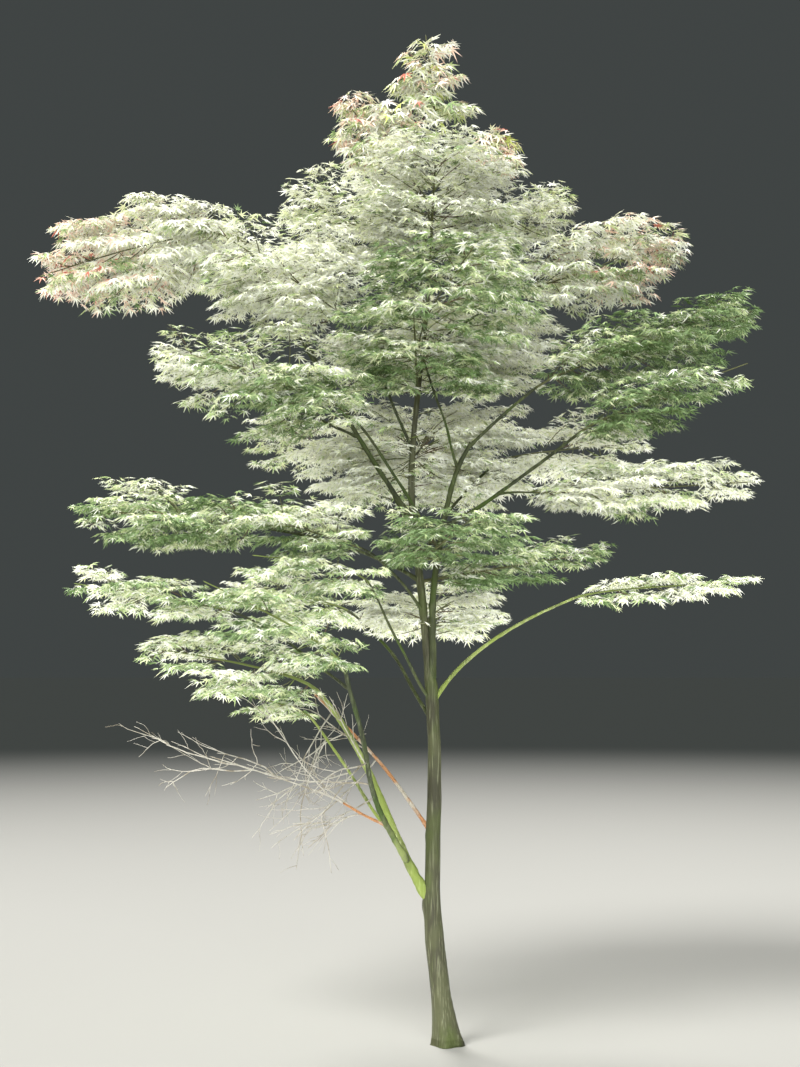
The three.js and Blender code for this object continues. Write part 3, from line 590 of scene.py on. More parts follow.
def new_piece(name, points, triangles, finishes, tones=None, smooth=True):
    """A mesh object at the origin that rides on the plant."""
    mesh = bpy.data.meshes.new(name)
    mesh.vertices.add(len(points))
    mesh.vertices.foreach_set("co", points.astype(np.float32).ravel())
    mesh.loops.add(3 * len(triangles))
    mesh.loops.foreach_set("vertex_index", triangles.astype(np.int32).ravel())
    mesh.polygons.add(len(triangles))
    mesh.polygons.foreach_set("loop_start", np.arange(0, 3 * len(triangles), 3, dtype=np.int32))
    if tones is not None:
        mesh.polygons.foreach_set("material_index", tones.astype(np.int32))
    mesh.update(calc_edges=True)
    mesh.polygons.foreach_set("use_smooth", np.full(len(triangles), smooth))
    for finish in finishes:
        mesh.materials.append(finish)
    piece = add_to_scene(name, mesh)
    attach(piece, "root")
    print(f"{name}: {len(triangles)} triangles")
    return piece


# %% [markdown]
# ## The trunk
#
# Seen close, the trunk isn't a smooth cone. Its foot spreads in four low ribs, its bark has shallow
# upright furrows and broad swellings, and there is a collar where each bough leaves it. Sculpting
# would do this once; a sum of waves does it at any fineness. Waves in space have no seam round the
# trunk, and when their lengths along Z are stretched they turn into furrows.

# %% Trunk
TRUNK_SIDES, TRUNK_RINGS = 96, 360
# A power above one crowds the rings towards the foot
RING_POWER = 1.12
# A wave's height, and then its size, its stretch along Z and its seed
FURROW, FURROW_WAVES = 0.0006, (0.008, 14, 1)
SWELL, SWELL_WAVES = 0.0016, (0.11, 2.2, 2)
# A collar's height as a share of the bough's radius, and its half height and half width as a share
# of that radius and a length more
COLLAR_HEIGHT, COLLAR_TALL, COLLAR_WIDE = 0.34, (1.5, 0.012), (1.2, 0.008)
# How far a limb's closing points lie before its first ring and beyond its last
ROOT_CAP, TIP_CAP = 0.001, 0.002


def waves(points, size, stretch, seed, count=14):
    """Smooth noise, mostly from -1 to 1: the sum of plane waves over the root of their count. They
    are about size long and turned at random, with their lengths along Z times stretch."""
    rng = np.random.default_rng(seed)
    turns = unit(rng.normal(size=(count, 3))) * rng.uniform(0.7, 1.4, (count, 1))
    turns *= 2 * np.pi / size * np.array([1, 1, 1 / stretch])
    return np.sin(points @ turns.T + rng.uniform(0, 2 * np.pi, count)).sum(-1) / np.sqrt(count)


def collars(heights, angles):
    """A low bump on the trunk round the root of each bough: height · exp(-(up² + round²)), where up
    and round are shares of the bump's half height and half width."""
    total = 0
    for on, height, heading, _, _, _, radii in BOUGHS.values():
        if on == "trunk":
            turned_away = np.angle(np.exp(1j * (angles - np.radians(heading)))) * trunk_radius(height)
            away = ((heights - height) / (COLLAR_TALL[0] * radii[0] + COLLAR_TALL[1])) ** 2
            away = away + (turned_away / (COLLAR_WIDE[0] * radii[0] + COLLAR_WIDE[1])) ** 2
            total = total + COLLAR_HEIGHT * radii[0] * np.exp(-away)
    return total


def in_relief(line, root, tip, radii, across, relief):
    """One tube with radii (rings, sides) round a line of as many points, closed at root and tip. Its
    radii grow by relief(skin), where skin is the points that the plain radii give."""
    line = np.concatenate([root[None], line, tip[None]])[None]
    radii, across, sides = radii[None], across[None], radii.shape[-1]
    skin = tube_points(line, radii, sides, across)[:, 1:-1].reshape(radii.shape + (3,))
    return tube_points(line, radii + relief(skin), sides, across)[0]


def trunk_relief(skin):
    """Furrow · waves + swelling · waves, and a thick trunk swells more than a thin one."""
    swell = SWELL * (radii / TRUNK_RADIUS)
    return FURROW * waves(skin, *FURROW_WAVES) + swell * waves(skin, *SWELL_WAVES)


heights = TRUNK_TOP * (np.arange(TRUNK_RINGS + 1) / TRUNK_RINGS) ** RING_POWER
angles = 2 * np.pi * np.arange(TRUNK_SIDES) / TRUNK_SIDES
line = trunk_point(heights)
flare = FLARE_RADIUS * np.exp(-heights / FLARE_FALL)[:, None]
flare = flare * (1 + FLARE_DEPTH * np.cos(FLARE_LOBES * angles + FLARE_TURN))
radii = trunk_radius(heights)[:, None] + flare + collars(heights[:, None], angles)
points = in_relief(line, line[0], line[-1] + TIP_CAP * UP, radii, RIGHT, trunk_relief)
points[:, 2] = np.maximum(points[:, 2], 0)
points[1 : TRUNK_SIDES + 1, 2] = 0
trunk = new_piece(
    "trunk_in_bark", points, tube_triangles(TRUNK_RINGS + 1, TRUNK_SIDES), [TRUNK_BARK])
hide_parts("trunk")

# %% [markdown]
# ## The boughs
#
# Each bough is a tube of its own, thicker where it springs from its carrier and a little knobbed where
# it once bore twigs. It starts inside the carrier, so no gap can open at the joint, and it ends where
# the stem of its mass begins.

# %% Boughs
BOUGH_SIDES, BOUGH_RINGS = 20, 72
# Each as a share of the radius. The collar and the start also fade over a count of root radii.
COLLAR, COLLAR_FADES, START, START_FADES = 0.45, 4, 0.8, 1.7
KNOB, KNOB_SPACING, KNOB_POWER, KNOBS_SHIFT = 0.09, 0.085, 8, 40
GRAIN, GRAIN_WAVES, BULGE, BULGE_WAVES = 0.05, (0.012, 3, 5), 0.07, (0.06, 1.5, 6)
BARKS = {
    "low_left": MOSSY_SUNLIT_BARK, "low_thin": MOSSY_SUNLIT_BARK, "low_right": MOSSY_SUNLIT_BARK, "low_dark": DARK_BARK,
}


def bough_piece(name, finish):
    """Radius · (1 + collar - start + knobs + relief). The collar fades over four root radii, and the
    start, a deeper dip, over less than two, so that the bough swells out of its carrier. A knob is a
    cosine's peak, raised to a power so that it stays narrow."""
    limb = limbs[name]
    t = np.linspace(0, 1, BOUGH_RINGS)
    line = limb.at(t)
    length = np.concatenate([[0], np.cumsum(np.linalg.norm(np.diff(line, axis=0), axis=1))])
    root = limb.radius(0.0)
    collar = COLLAR * np.exp(-((length / (COLLAR_FADES * root)) ** 2))
    collar = collar - START * np.exp(-((length / (START_FADES * root)) ** 2))
    phase = 2 * np.pi * length / KNOB_SPACING + length[-1] * KNOBS_SHIFT
    knobs = KNOB * (0.5 + 0.5 * np.cos(phase)) ** KNOB_POWER
    radii = (limb.radius(t) * (1 + collar + knobs))[:, None]
    radii = np.broadcast_to(radii, (BOUGH_RINGS, BOUGH_SIDES))
    points = in_relief(
        line, line[0] - ROOT_CAP * unit(line[1] - line[0]), line[-1] + TIP_CAP * limb.tip_direction,
        radii, np.cross(limb.at(1.0) - limb.at(0.0), UP),
        lambda skin: radii * (GRAIN * waves(skin, *GRAIN_WAVES) + BULGE * waves(skin, *BULGE_WAVES)))
    piece = new_piece(
        f"limb_{name}", points, tube_triangles(BOUGH_RINGS, BOUGH_SIDES), [finish])
    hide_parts(f"bough_{name}")


for name in BOUGHS:
    if name.startswith("dead"):
        bough_piece(name, DEAD_BARK)
    else:
        bough_piece(name, BARKS.get(name, BOUGH_BARK))

# %% [markdown]
# ## Where each mass grows
#
# Foliage hangs in flat tiers, one at the end of each bough and more on the upper trunk. Each tier keeps
# to its own space, so that neighbours never tangle: an ellipsoid, cut by a plane towards each
# neighbour. The plane lies where the two powers are the same, and a power is a squared distance less
# the tier's weight, so a larger tier takes more room.

# %% Spaces
STEM_SHARE, ROOT_INSET, STEM_HANDLE = 0.86, 0.42, 0.14
STEM_ROOT, STEM_TIP = 0.008, 0.0022
FLATNESS = np.array([1, 1, 2.4])
# How far the loose sprays at the top reach beyond their spaces
REACHES_BEYOND = {"crest": 0.03, "top_front": 0.07}

# Limb, height on it, heading, tilt, (length, width, depth), palette of painted light, part of the crown
MASSES = {
    "low_left": ("low_left", None, 183, 14, (0.88, 0.88, 0.46), "dappled", "low"),
    "low_front": ("low_dark", None, 205, 30, (0.8, 0.8, 0.44), "shaded", "low"),
    "low_under": ("low_thin", None, 165, 14, (0.6, 0.58, 0.27), "dappled", "low"),
    "low_outer": ("low_outer", None, 180, 10, (0.78, 0.8, 0.36), "dappled", "low"),
    "inner_left": ("inner_left", None, 215, 10, (0.66, 0.72, 0.4), "shaded", "low"),
    "low_right": ("low_right", None, 0, 5, (0.88, 0.62, 0.22), "dappled", "low"),
    "low_back": ("low_back", None, 128, 10, (0.9, 0.9, 0.44), "dappled", "low"),
    "left": ("left", None, 182, 6, (0.88, 0.86, 0.42), "shaded", "front"),
    "left_inner": ("left_inner", None, 206, 14, (0.72, 0.82, 0.46), "shaded", "front"),
    "right_high": ("right_high", None, 4, 20, (1.18, 0.9, 0.48), "dim", "right"),
    "upper_front": ("upper_front", None, 286, 22, (0.86, 0.98, 0.6), "shaded", "front"),
    "right_mid": ("right_mid", None, 356, 22, (0.88, 0.78, 0.4), "dim", "right"),
    "right_tier": ("right_tier", None, 2, 3, (1.08, 0.8, 0.34), "sunlit", "right"),
    "front_left": ("front_left", None, 212, 14, (0.82, 0.94, 0.56), "shaded", "front"),
    "upper_left": ("left_big", None, 178, -9, (1.06, 0.98, 0.56), "young", "left"),
    "upper_left_back": ("upper_left", None, 110, 30, (0.78, 0.9, 0.6), "sunlit", "left"),
    "mid_left": ("mid_left", None, 184, 22, (0.6, 0.8, 0.46), "sunlit", "left"),
    "upper_inner": ("upper_inner", None, 204, 30, (0.8, 0.9, 0.7), "sunlit", "left"),
    "upper_right": ("upper_right", None, 3, 18, (0.9, 0.9, 0.52), "young", "right"),
    "back_left": ("back_left", None, 124, 12, (0.96, 0.92, 0.54), "bright", "back"),
    "back_right": ("back_right", None, 36, 10, (0.96, 0.98, 0.48), "bright", "back"),
    "back_low": ("trunk", 1.76, 84, 12, (1.1, 0.76, 0.36), "bright", "back"),
    "front_low": ("trunk", 2.04, 286, 10, (0.88, 0.86, 0.29), "dim", "front"),
    "right_inner": ("trunk", 1.96, 18, 10, (1.02, 0.7, 0.27), "dim", "right"),
    "back_mid": ("trunk", 2.49, 86, 12, (1.26, 1.3, 0.78), "bright", "middle"),
    "back_high": ("trunk", 2.92, 80, 20, (1.12, 1.28, 0.76), "sunlit", "back"),
    "front_mid": ("trunk", 2.78, 268, 18, (0.88, 0.94, 0.44), "shaded", "front"),
    "top_left": ("trunk", 3.36, 186, 26, (0.8, 0.86, 0.6), "sunlit", "crest"),
    "top_right": ("trunk", 3.4, 4, 22, (0.76, 0.8, 0.56), "sunlit", "crest"),
    "top_front": ("trunk", 3.32, 272, 36, (0.74, 0.86, 0.6), "sunlit", "crest"),
    "top_back": ("trunk", 3.52, 96, 38, (0.74, 0.82, 0.58), "sunlit", "crest"),
    "crest_left": ("trunk", 3.7, 188, 42, (0.6, 0.62, 0.5), "crest", "crest"),
    "crest_right": ("trunk", 3.64, 354, 34, (0.47, 0.54, 0.44), "crest", "crest"),
    "crest_tip": ("trunk", None, 150, 84, (0.6, 0.44, 0.44), "crest", "crest"),
    "dead": ("dead_side", None, 170, 18, (0.7, 0.6, 0.48), "bare", "dead"),
}


class Mass:
    """A tier: its stem, the three directions of its space, and its half sizes along them."""

    def __init__(self, name, seed, on, height, heading, tilt, size, palette, part):
        self.name, self.seed, self.palette, self.part = name, seed, palette, part
        limb = limbs[on]
        share = limb.share_at(height) if height else 1.0
        along, across = towards(heading, tilt), towards(heading + 90, 0)
        self.axes = np.array([along, across, np.cross(along, across)])
        self.length, self.half = size[0], np.array(size) / 2
        self.on_trunk = height is not None
        root = limb.at(share) + (0 if self.on_trunk else GAP) * limb.tip_direction
        start = along if self.on_trunk else limb.tip_direction
        bend = root + start * STEM_HANDLE * self.length
        tip = root + along * STEM_SHARE * self.length
        thick = float(min(STEM_ROOT, limb.radius(share)))
        self.middle = root + along * ROOT_INSET * self.length
        self.beyond = REACHES_BEYOND.get(name, REACHES_BEYOND.get(palette, 0.0))
        self.weight = ((size[0] + size[1] + FLATNESS[2] * size[2]) / 6) ** 2
        self.stem = Limb(
            lambda t: bezier([root, bend, tip], t), lambda t: mix(thick, STEM_TIP, t), along)
        self.start = start


masses = [Mass(name, i + 1, *row) for i, (name, row) in enumerate(MASSES.items())]


def inside(own, points):
    """How far inside its own space each point lies, in metres, and below zero outside. The ellipsoid
    gives (1 - scaled distance) · its least half size. A neighbour gives the distance to the plane,
    (its power - own power) / slope, and the least of them all counts."""
    offset = points - own.middle
    scaled = np.linalg.norm(offset @ own.axes.T / own.half, axis=-1)
    least = (1 - scaled) * own.half.min()
    own_power = ((offset * FLATNESS) ** 2).sum(-1) - own.weight
    for other in masses:
        if other is not own:
            power = (((points - other.middle) * FLATNESS) ** 2).sum(-1) - other.weight
            slope = 2 * np.linalg.norm((own.middle - other.middle) * FLATNESS**2)
            least = np.minimum(least, (power - own_power) / slope)
    return least


def in_box(points):
    """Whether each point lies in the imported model's box."""
    return ((points > LOWEST) & (points < HIGHEST)).all(-1)


# Points and radii along every limb, to keep twigs and leaves clear of it
LINE_POINTS = 120
shares = np.linspace(0, 1, LINE_POINTS)
limb_lines = [(limb.at(shares), limb.radius(shares)) for limb in limbs.values()]


def clear_of_limbs(points, margin):
    """Whether each point is further than the margin from the skin of every limb."""
    clear = np.ones(points.shape[:-1], bool)
    for middles, radii in limb_lines:
        gaps = np.linalg.norm(points[..., None, :] - middles, axis=-1) - radii
        clear &= gaps.min(-1) > margin
    return clear


print(len(masses), "masses, the largest", max(m.length for m in masses), "m long")

# %% [markdown]
# ## One leaf
#
# The leaf is a star of slender lobes, deeply parted, with a fold along each midrib and drooping tips.
# Thousands of them have to stay light, so a lobe is only two triangles, left and right of its midrib,
# and one more triangle is the stalk. Two patterns, with five and with seven lobes, are enough.

# %% Leaf patterns
# As shares of the leaf's length: the notches' depth, and that of the outer two, which also lie outside
# the last lobes by a turn in radians, how far the lobes' tips droop and how high the notches fold
NOTCH, NOTCH_LEAST, OUTER_NOTCH, OUTER_TURN = 0.25, 0.03, 0.13, 0.45
TIPS_DROOP, NOTCHES_RISE = 0.16, 0.05


def leaf_pattern(turns, lengths):
    """Corners in the leaf's own plane, with its stalk at the origin and its middle lobe along X: a
    lobe's tip at angle a and length l is (l cos a, l sin a), and between two lobes is a notch. The
    last two corners are left free for the stalk. Returns the corners and the triangles."""
    turns, lengths = np.radians(turns), np.array(lengths)
    between = (turns[1:] + turns[:-1]) / 2
    notch_turns = np.concatenate([[turns[0] - OUTER_TURN], between, [turns[-1] + OUTER_TURN]])
    depth = NOTCH * (lengths[1:] + lengths[:-1]) / 2 + NOTCH_LEAST
    notch_lengths = np.concatenate([[OUTER_NOTCH], depth, [OUTER_NOTCH]])
    droop = -TIPS_DROOP * lengths**2
    tips = np.stack([lengths * np.cos(turns), lengths * np.sin(turns), droop], -1)
    notches = np.stack(
        [notch_lengths * np.cos(notch_turns), notch_lengths * np.sin(notch_turns),
         NOTCHES_RISE + 0 * notch_turns], -1)
    count = len(turns)
    corners = np.concatenate([np.zeros((1, 3)), tips, notches, np.zeros((2, 3))])
    lobe = np.arange(count)
    right = np.stack([0 * lobe, 1 + count + lobe, 1 + lobe], -1)
    left = np.stack([0 * lobe, 1 + lobe, 2 + count + lobe], -1)
    stalk = np.array([[0, 2 + 2 * count, 3 + 2 * count]])
    return corners, np.concatenate([right, left, stalk])


LEAF_PATTERNS = [
    leaf_pattern([-84, -42, 0, 42, 84], [0.58, 0.9, 1.0, 0.9, 0.58]),
    leaf_pattern([-112, -72, -36, 0, 36, 72, 112], [0.38, 0.72, 0.93, 1.0, 0.93, 0.72, 0.38]),
]
print("triangles in a leaf:", [len(triangles) for _, triangles in LEAF_PATTERNS])

# %% [markdown]
# ## The rule of growth
#
# Maples branch in opposite pairs, and their side twigs turn level to catch the light, which makes the
# thin layers of a tier. The rule works through three orders. Side twigs leave the stem in pairs, wide
# at its root and narrow at its tip. Fine twigs leave a side twig the same way. Leaves sit in pairs on
# both. A particle system could scatter leaves, but they would hang on nothing. Here each one has a
# twig, and what would leave the space or touch a limb is skipped.

# %% Growth
PAIR_SPACING, FIRST_PAIR, USUAL_DEPTH = 0.04, 0.1, 0.46
# How densely each part of the crown is twigged, and the masses that differ from their part
DENSITY = {
    "low": 0.62, "front": 0.88, "right": 0.82, "left": 0.95, "back": 0.94, "middle": 0.92,
    "crest": 0.85, "top_front": 1.5, "front_mid": 1.1, "crest_right": 1.3,
}
TWIG_ANGLES, ANGLE_JITTER = (76, 36), 16
# What a side twig keeps of the stem's climb, and how much it varies
CLIMB_KEPT, CLIMB_JITTER = 0.9, 0.24
LAYER_SPACING, LAYERS_FILL, GOLDEN_SHARE, LEAST_ROOM = 0.105, 0.84, 0.618, 0.1
TWIG_LEVELS_OUT = 0.16
# How far a twig strays from its layer, as a share of the layers' spacing
STRAYS, STRAYS_LOW = 1.0, 0.6
TWIG_SAG, FINE_SAG = 0.16, 0.5
SAGS = {"upper_left": 0.3, "crest_tip": 0.8}
LONGEST_TWIG, LONGEST_FINE, LONGEST_SHOOT = 0.62, 0.17, 0.34
SHORTEST_TWIG, SHORTEST_FINE = 0.06, 0.025
# What is left of a side twig's length at the end of the stem, where that makes a spire
LEFT_AT_TIP = {"crest_tip": 0.12, "crest_left": 0.5, "crest_right": 0.6}
SHORTENED, SHOOTS_SHORTENED, FINE_VARIES = (0.7, 1.0), (0.5, 1.0), (0.8, 1.1)
SHOOT_SPACING, SHOOT_ROOM, SHOOT_CLIMB, GOLDEN_ANGLE = 0.04, 0.015, 0.25, 2.4
FINE_SPACING, FINE_STAGGER, FINE_ANGLES, FINE_RISE = 0.056, 0.3, (62, 40), 0.26
# The first fine twig's place, as a share of its carrier and metres more, and a fine twig's length, as
# a share of what is left of its carrier and metres more
FINE_FIRST, FINE_LENGTH = (0.18, 0.02), (0.55, 0.045)
SPACE_MARGIN, LIMB_MARGIN, CHECKED_EVERY = 0.004, 0.006, 0.02


def jitter(rng, shape, width):
    """Random numbers spread evenly over the width, about zero."""
    return width * (rng.random(shape) - 0.5)


def in_pairs(which, s):
    """Each place twice, with -1 and 1 for its two sides."""
    return np.repeat(which, 2), np.repeat(s, 2), np.tile([-1, 1], len(s))


class Twigs:
    """Twigs of one order as arrays: a start, a heading, the rise out of it, a sag and a length."""

    def __init__(self, start, heading, lift, sag, length):
        self.start, self.heading, self.lift, self.sag, self.length = start, heading, lift, sag, length

    def at(self, which, s):
        """start + heading · s + lift · d (1 - exp(-s / d)) - up · sag · s²: the twig rises out of
        its plane, turns level within the distance d, and hangs a little at its end."""
        s = s[..., None]
        start, heading, lift = (row[which] for row in (self.start, self.heading, self.lift))
        if s.ndim == 3:
            start, heading, lift = start[:, None], heading[:, None], lift[:, None]
        rise = TWIG_LEVELS_OUT * (1 - np.exp(-s / TWIG_LEVELS_OUT))
        return start + heading * s + lift * rise - UP * self.sag * s**2

    def part_way(self, share):
        """Each twig's point at a share of its length."""
        return self.at(np.arange(len(self.start)), share * self.length)

    def ahead(self, which, s):
        """The slope of at()."""
        s = s[..., None]
        slope = self.lift[which] * np.exp(-s / TWIG_LEVELS_OUT) - UP * 2 * self.sag * s
        return unit(self.heading[which] + slope)

    def keep(self, which):
        for name in ("start", "heading", "lift", "length"):
            setattr(self, name, getattr(self, name)[which])

    def shorten(self, own, longest):
        """Cuts each twig where it leaves the space or the box, or meets a limb."""
        s = np.arange(CHECKED_EVERY, longest + CHECKED_EVERY, CHECKED_EVERY)
        every = np.arange(len(self.start))
        points = self.at(every, np.broadcast_to(s, (len(every), len(s))))
        free = (inside(own, points) > SPACE_MARGIN - own.beyond) & in_box(points)
        free[:, 2:] &= clear_of_limbs(points[:, 2:], LIMB_MARGIN)
        self.length = np.minimum(self.length, CHECKED_EVERY * free.cumprod(1).sum(1))

    def stations(self, first, spacing):
        """Which twig and how far along it, for places from first to the end of each twig."""
        counts = np.maximum(np.floor((self.length - first) / spacing).astype(int) + 1, 0)
        which = np.repeat(np.arange(len(counts)), counts)
        place = np.arange(counts.sum()) - np.repeat(counts.cumsum() - counts, counts)
        return which, np.broadcast_to(first, counts.shape)[which] + spacing * place

    def lines(self, points):
        """Each twig as a row of points, evenly spaced, from inside its carrier to its end."""
        share = np.linspace(0, 1, points)
        return self.at(np.arange(len(self.start)), self.length[:, None] * share)


def turned(ahead, angle):
    """ahead turned sideways in the plane that is as level as can be: it swings towards level × a."""
    level = square_to(np.broadcast_to(UP, ahead.shape), ahead)
    return swung(ahead, np.cross(level, ahead), angle)


def spread_on_limbs():
    """Points along every living limb, spaced as its side shoots are."""
    rows = []
    for name, limb in limbs.items():
        if not name.startswith("dead"):
            line = limb.at(np.linspace(0, 1, 60))
            length = np.linalg.norm(np.diff(line, axis=0), axis=1).sum()
            places = np.arange(round(length / SHOOT_SPACING)) + 0.5
            rows.append(limb.at(places * SHOOT_SPACING / length))
    return np.concatenate(rows)


def side_twigs(own, rng):
    """Opposite pairs along the stem. The golden share of a turn picks each pair's layer, and a layer
    levels out at level · room, where room = half depth · sqrt(1 - out²) is the space above the stem.
    Where another limb runs through the space, short shoots stand round it, each turned by the
    golden angle."""
    along, across, thick = own.axes
    stem_length = np.linalg.norm(own.stem.at(1.0) - own.stem.at(0.0))
    density = DENSITY.get(own.name, DENSITY[own.part])
    spacing = PAIR_SPACING * np.sqrt(USUAL_DEPTH / (2 * own.half[2])) / density
    pairs = max(3, round(stem_length * (1 - FIRST_PAIR) / spacing))
    count = 2 * pairs
    pair, hand = np.repeat(np.arange(pairs), 2), np.tile([-1, 1], pairs)
    t = FIRST_PAIR + (1 - FIRST_PAIR) * (pair + 0.5 * rng.random(count)) / pairs
    spread = np.radians(mix(*TWIG_ANGLES, t) + jitter(rng, count, ANGLE_JITTER))
    heading = swung(along, across, hand * spread)
    heading[:, 2] = heading[:, 2] * CLIMB_KEPT + jitter(rng, count, CLIMB_JITTER)
    layers = max(2, round(2 * own.half[2] / LAYER_SPACING))
    strays = STRAYS_LOW if own.part == "low" else STRAYS
    layer = np.floor((pair * GOLDEN_SHARE % 1) * layers) + 0.5 + jitter(rng, count, strays)
    level = 2 * layer / layers - 1
    out = (own.stem.at(t) - own.middle) @ along / own.half[0]
    room = own.half[2] * np.sqrt(np.clip(1 - out**2, LEAST_ROOM, 1))
    lift = LAYERS_FILL * room * level / TWIG_LEVELS_OUT
    shoots = shoot_places[inside(own, shoot_places) > SHOOT_ROOM - own.beyond]
    turn = GOLDEN_ANGLE * np.arange(len(shoots)) + rng.random(len(shoots))
    around = np.stack([np.cos(turn), np.sin(turn), SHOOT_CLIMB + 0 * turn], -1)
    length = np.concatenate([
        LONGEST_TWIG * own.length * mix(1, LEFT_AT_TIP.get(own.name, 1.0), t),
        LONGEST_SHOOT * mix(*SHOOTS_SHORTENED, rng.random(len(shoots)))])
    twigs = Twigs(
        np.concatenate([own.stem.at(t), shoots]), unit(np.concatenate([heading, around])),
        np.concatenate([lift[:, None] * thick, 0 * around]), SAGS.get(own.name, TWIG_SAG), length)
    twigs.shorten(own, LONGEST_TWIG * own.length)
    twigs.length *= mix(*SHORTENED, rng.random(len(length)))
    twigs.keep(twigs.length > SHORTEST_TWIG)
    return twigs


def fine_twigs(own, rng, side):
    """Opposite pairs along each side twig, shorter towards its end."""
    first = FINE_FIRST[0] * side.length + FINE_FIRST[1]
    which, s, hand = in_pairs(*side.stations(first, FINE_SPACING))
    s = s + FINE_STAGGER * FINE_SPACING * rng.random(len(s))
    share = s / side.length[which]
    angle = mix(*FINE_ANGLES, share) + jitter(rng, len(s), ANGLE_JITTER)
    heading = turned(side.ahead(which, s), hand * np.radians(angle))
    heading = unit(heading + UP * jitter(rng, (len(s), 1), FINE_RISE))
    length = FINE_LENGTH[0] * (side.length[which] - s) + FINE_LENGTH[1]
    length = np.minimum(length, LONGEST_FINE) * mix(*FINE_VARIES, rng.random(len(s)))
    twigs = Twigs(side.at(which, s), heading, 0 * heading, FINE_SAG, length)
    twigs.shorten(own, FINE_VARIES[1] * LONGEST_FINE)
    long_enough = (twigs.length > SHORTEST_FINE) & (share < 1)
    twigs.keep(long_enough)
    return twigs, which[long_enough]


shoot_places = spread_on_limbs()
print(len(shoot_places), "places for short shoots along the limbs")

# %% [markdown]
# ## Leaves on their twigs
#
# A leaf leaves its node on a thin stalk, out and a little up, and its blade then hangs level or below,
# with its face to the sky. The turn, the droop and the roll of each are drawn from a seeded row of
# numbers, so the tree is the same each time.

# %% Leaves
# The places of leaves: how far apart, and where the first is, in metres on a fine twig and as a share
# of a side twig
NODE_SPACING, FIRST_ON_FINE, FIRST_ON_SIDE = 0.036, 0.022, 0.45
LEAF_LENGTH, LEAF_SIZES, STALK, STALK_HALF_WIDTH = 0.042, (0.64, 1.24), 0.024, 0.0008
STALK_RISES, STALK_VARIES = (0.0, 0.45), (0.6, 1.3)
LEAF_TURN, TURN_JITTER, LEAF_DROOPS, LEAF_ROLL, LEAF_HANG = 58, 24, (-6, 32), 34, (0.2, 1.5)
# How far ahead and aside a leaf's side lobes reach, and the shares with seven lobes and with splashes
SIDE_LOBES, SEVEN_LOBED, SPLASHED = 0.6, 0.5, 0.26
# Leaves at the top of the tree are larger and hang more
LARGER, LOWERED = {"crest": 1.45, "young": 1.15}, {"crest": 22, "young": 6}
# How much lighter the top of a mass is painted, and how much the painted light of sprays and leaves
# varies at random
PAINTED_LIT_ABOVE, SPRAY_VARIES, LEAF_VARIES = 0.28, 0.22, 0.27
FLUSHED_BEYOND, FLUSHED_MOST, ROSE_SHARE, LIME_SHARE = 0.3, 1.5, 0.12, 0.07


def painted_spray_light(own, rng, points):
    """The painted light that sets each spray's leaf tones: its mass's own, more at the top of the
    mass and less below.
    """
    level = (points - own.middle) @ own.axes[2] / own.half[2]
    return PAINTED_SUN_AND_SHADE[own.palette] + PAINTED_LIT_ABOVE * level + SPRAY_VARIES * rng.standard_normal(len(points))


def flush(own, rng, points):
    """The chance of a young tone for each spray: none up to a share of the mass's length, then more
    towards its end, times a number of the spray's own."""
    if own.palette not in ("young", "crest"):
        return np.zeros(len(points))
    out = (points - own.stem.at(0.0)) @ own.axes[0] / own.length
    ripe = np.clip((out - FLUSHED_BEYOND) / (1 - FLUSHED_BEYOND), 0, 1)
    return FLUSHED_MOST * ripe * rng.random(len(points))


def toned(own, rng, light, flushed):
    """The tone of each leaf: from its spray's painted light, or a young one by its spray's chance."""
    tone = np.searchsorted(TONE_LIMITS, light + LEAF_VARIES * rng.standard_normal(len(light)))
    young = rng.random(len(tone)) < flushed
    tone[young] = np.where(rng.random(young.sum()) < ROSE_SHARE, ROSE, BLUSH)
    if own.palette == "crest":
        tone[rng.random(len(tone)) < LIME_SHARE] = LIME
    return tone


def leaves_on(own, rng, nodes, ahead, angle, light, flushed):
    """Blades at nodes. axis = ahead turned by the angle and lowered by the droop; face = the up
    direction square to the axis, rolled; the blade's root is a stalk's length from the node."""
    count = len(nodes)
    droop = np.radians(mix(*LEAF_DROOPS, rng.random(count)) + LOWERED.get(own.palette, 0))
    flat = turned(ahead, angle + jitter(rng, count, np.radians(TURN_JITTER)))
    axis = unit(swung(flat, -UP, droop))
    face = square_to(np.broadcast_to(UP, axis.shape), axis)
    face = swung(face, np.cross(axis, face), jitter(rng, count, 2 * np.radians(LEAF_ROLL)))
    size = LARGER.get(own.palette, 1.0) * LEAF_LENGTH * mix(*LEAF_SIZES, rng.random(count))
    stalk = unit(flat + UP * mix(*STALK_RISES, rng.random((count, 1))))
    root = nodes + stalk * (STALK * mix(*STALK_VARIES, rng.random((count, 1))))
    across = np.cross(face, axis)
    ahead_part, aside = SIDE_LOBES * axis, SIDE_LOBES * across
    reach = np.stack([axis, ahead_part + aside, ahead_part - aside], 1)
    ends = root[:, None] + size[:, None, None] * reach
    fits = (inside(own, ends) > -SPACE_MARGIN - own.beyond).all(1) & in_box(ends).all(1)
    fits &= clear_of_limbs(ends[:, 0], LIMB_MARGIN) & clear_of_limbs(root, LIMB_MARGIN)
    many_lobes = rng.random(count) < SEVEN_LOBED
    tones = toned(own, rng, light, flushed)
    made = {"node": nodes, "root": root, "axis": axis, "across": across, "face": face,
            "size": size, "tone": tones, "many": many_lobes}
    return {name: values[fits] for name, values in made.items()}


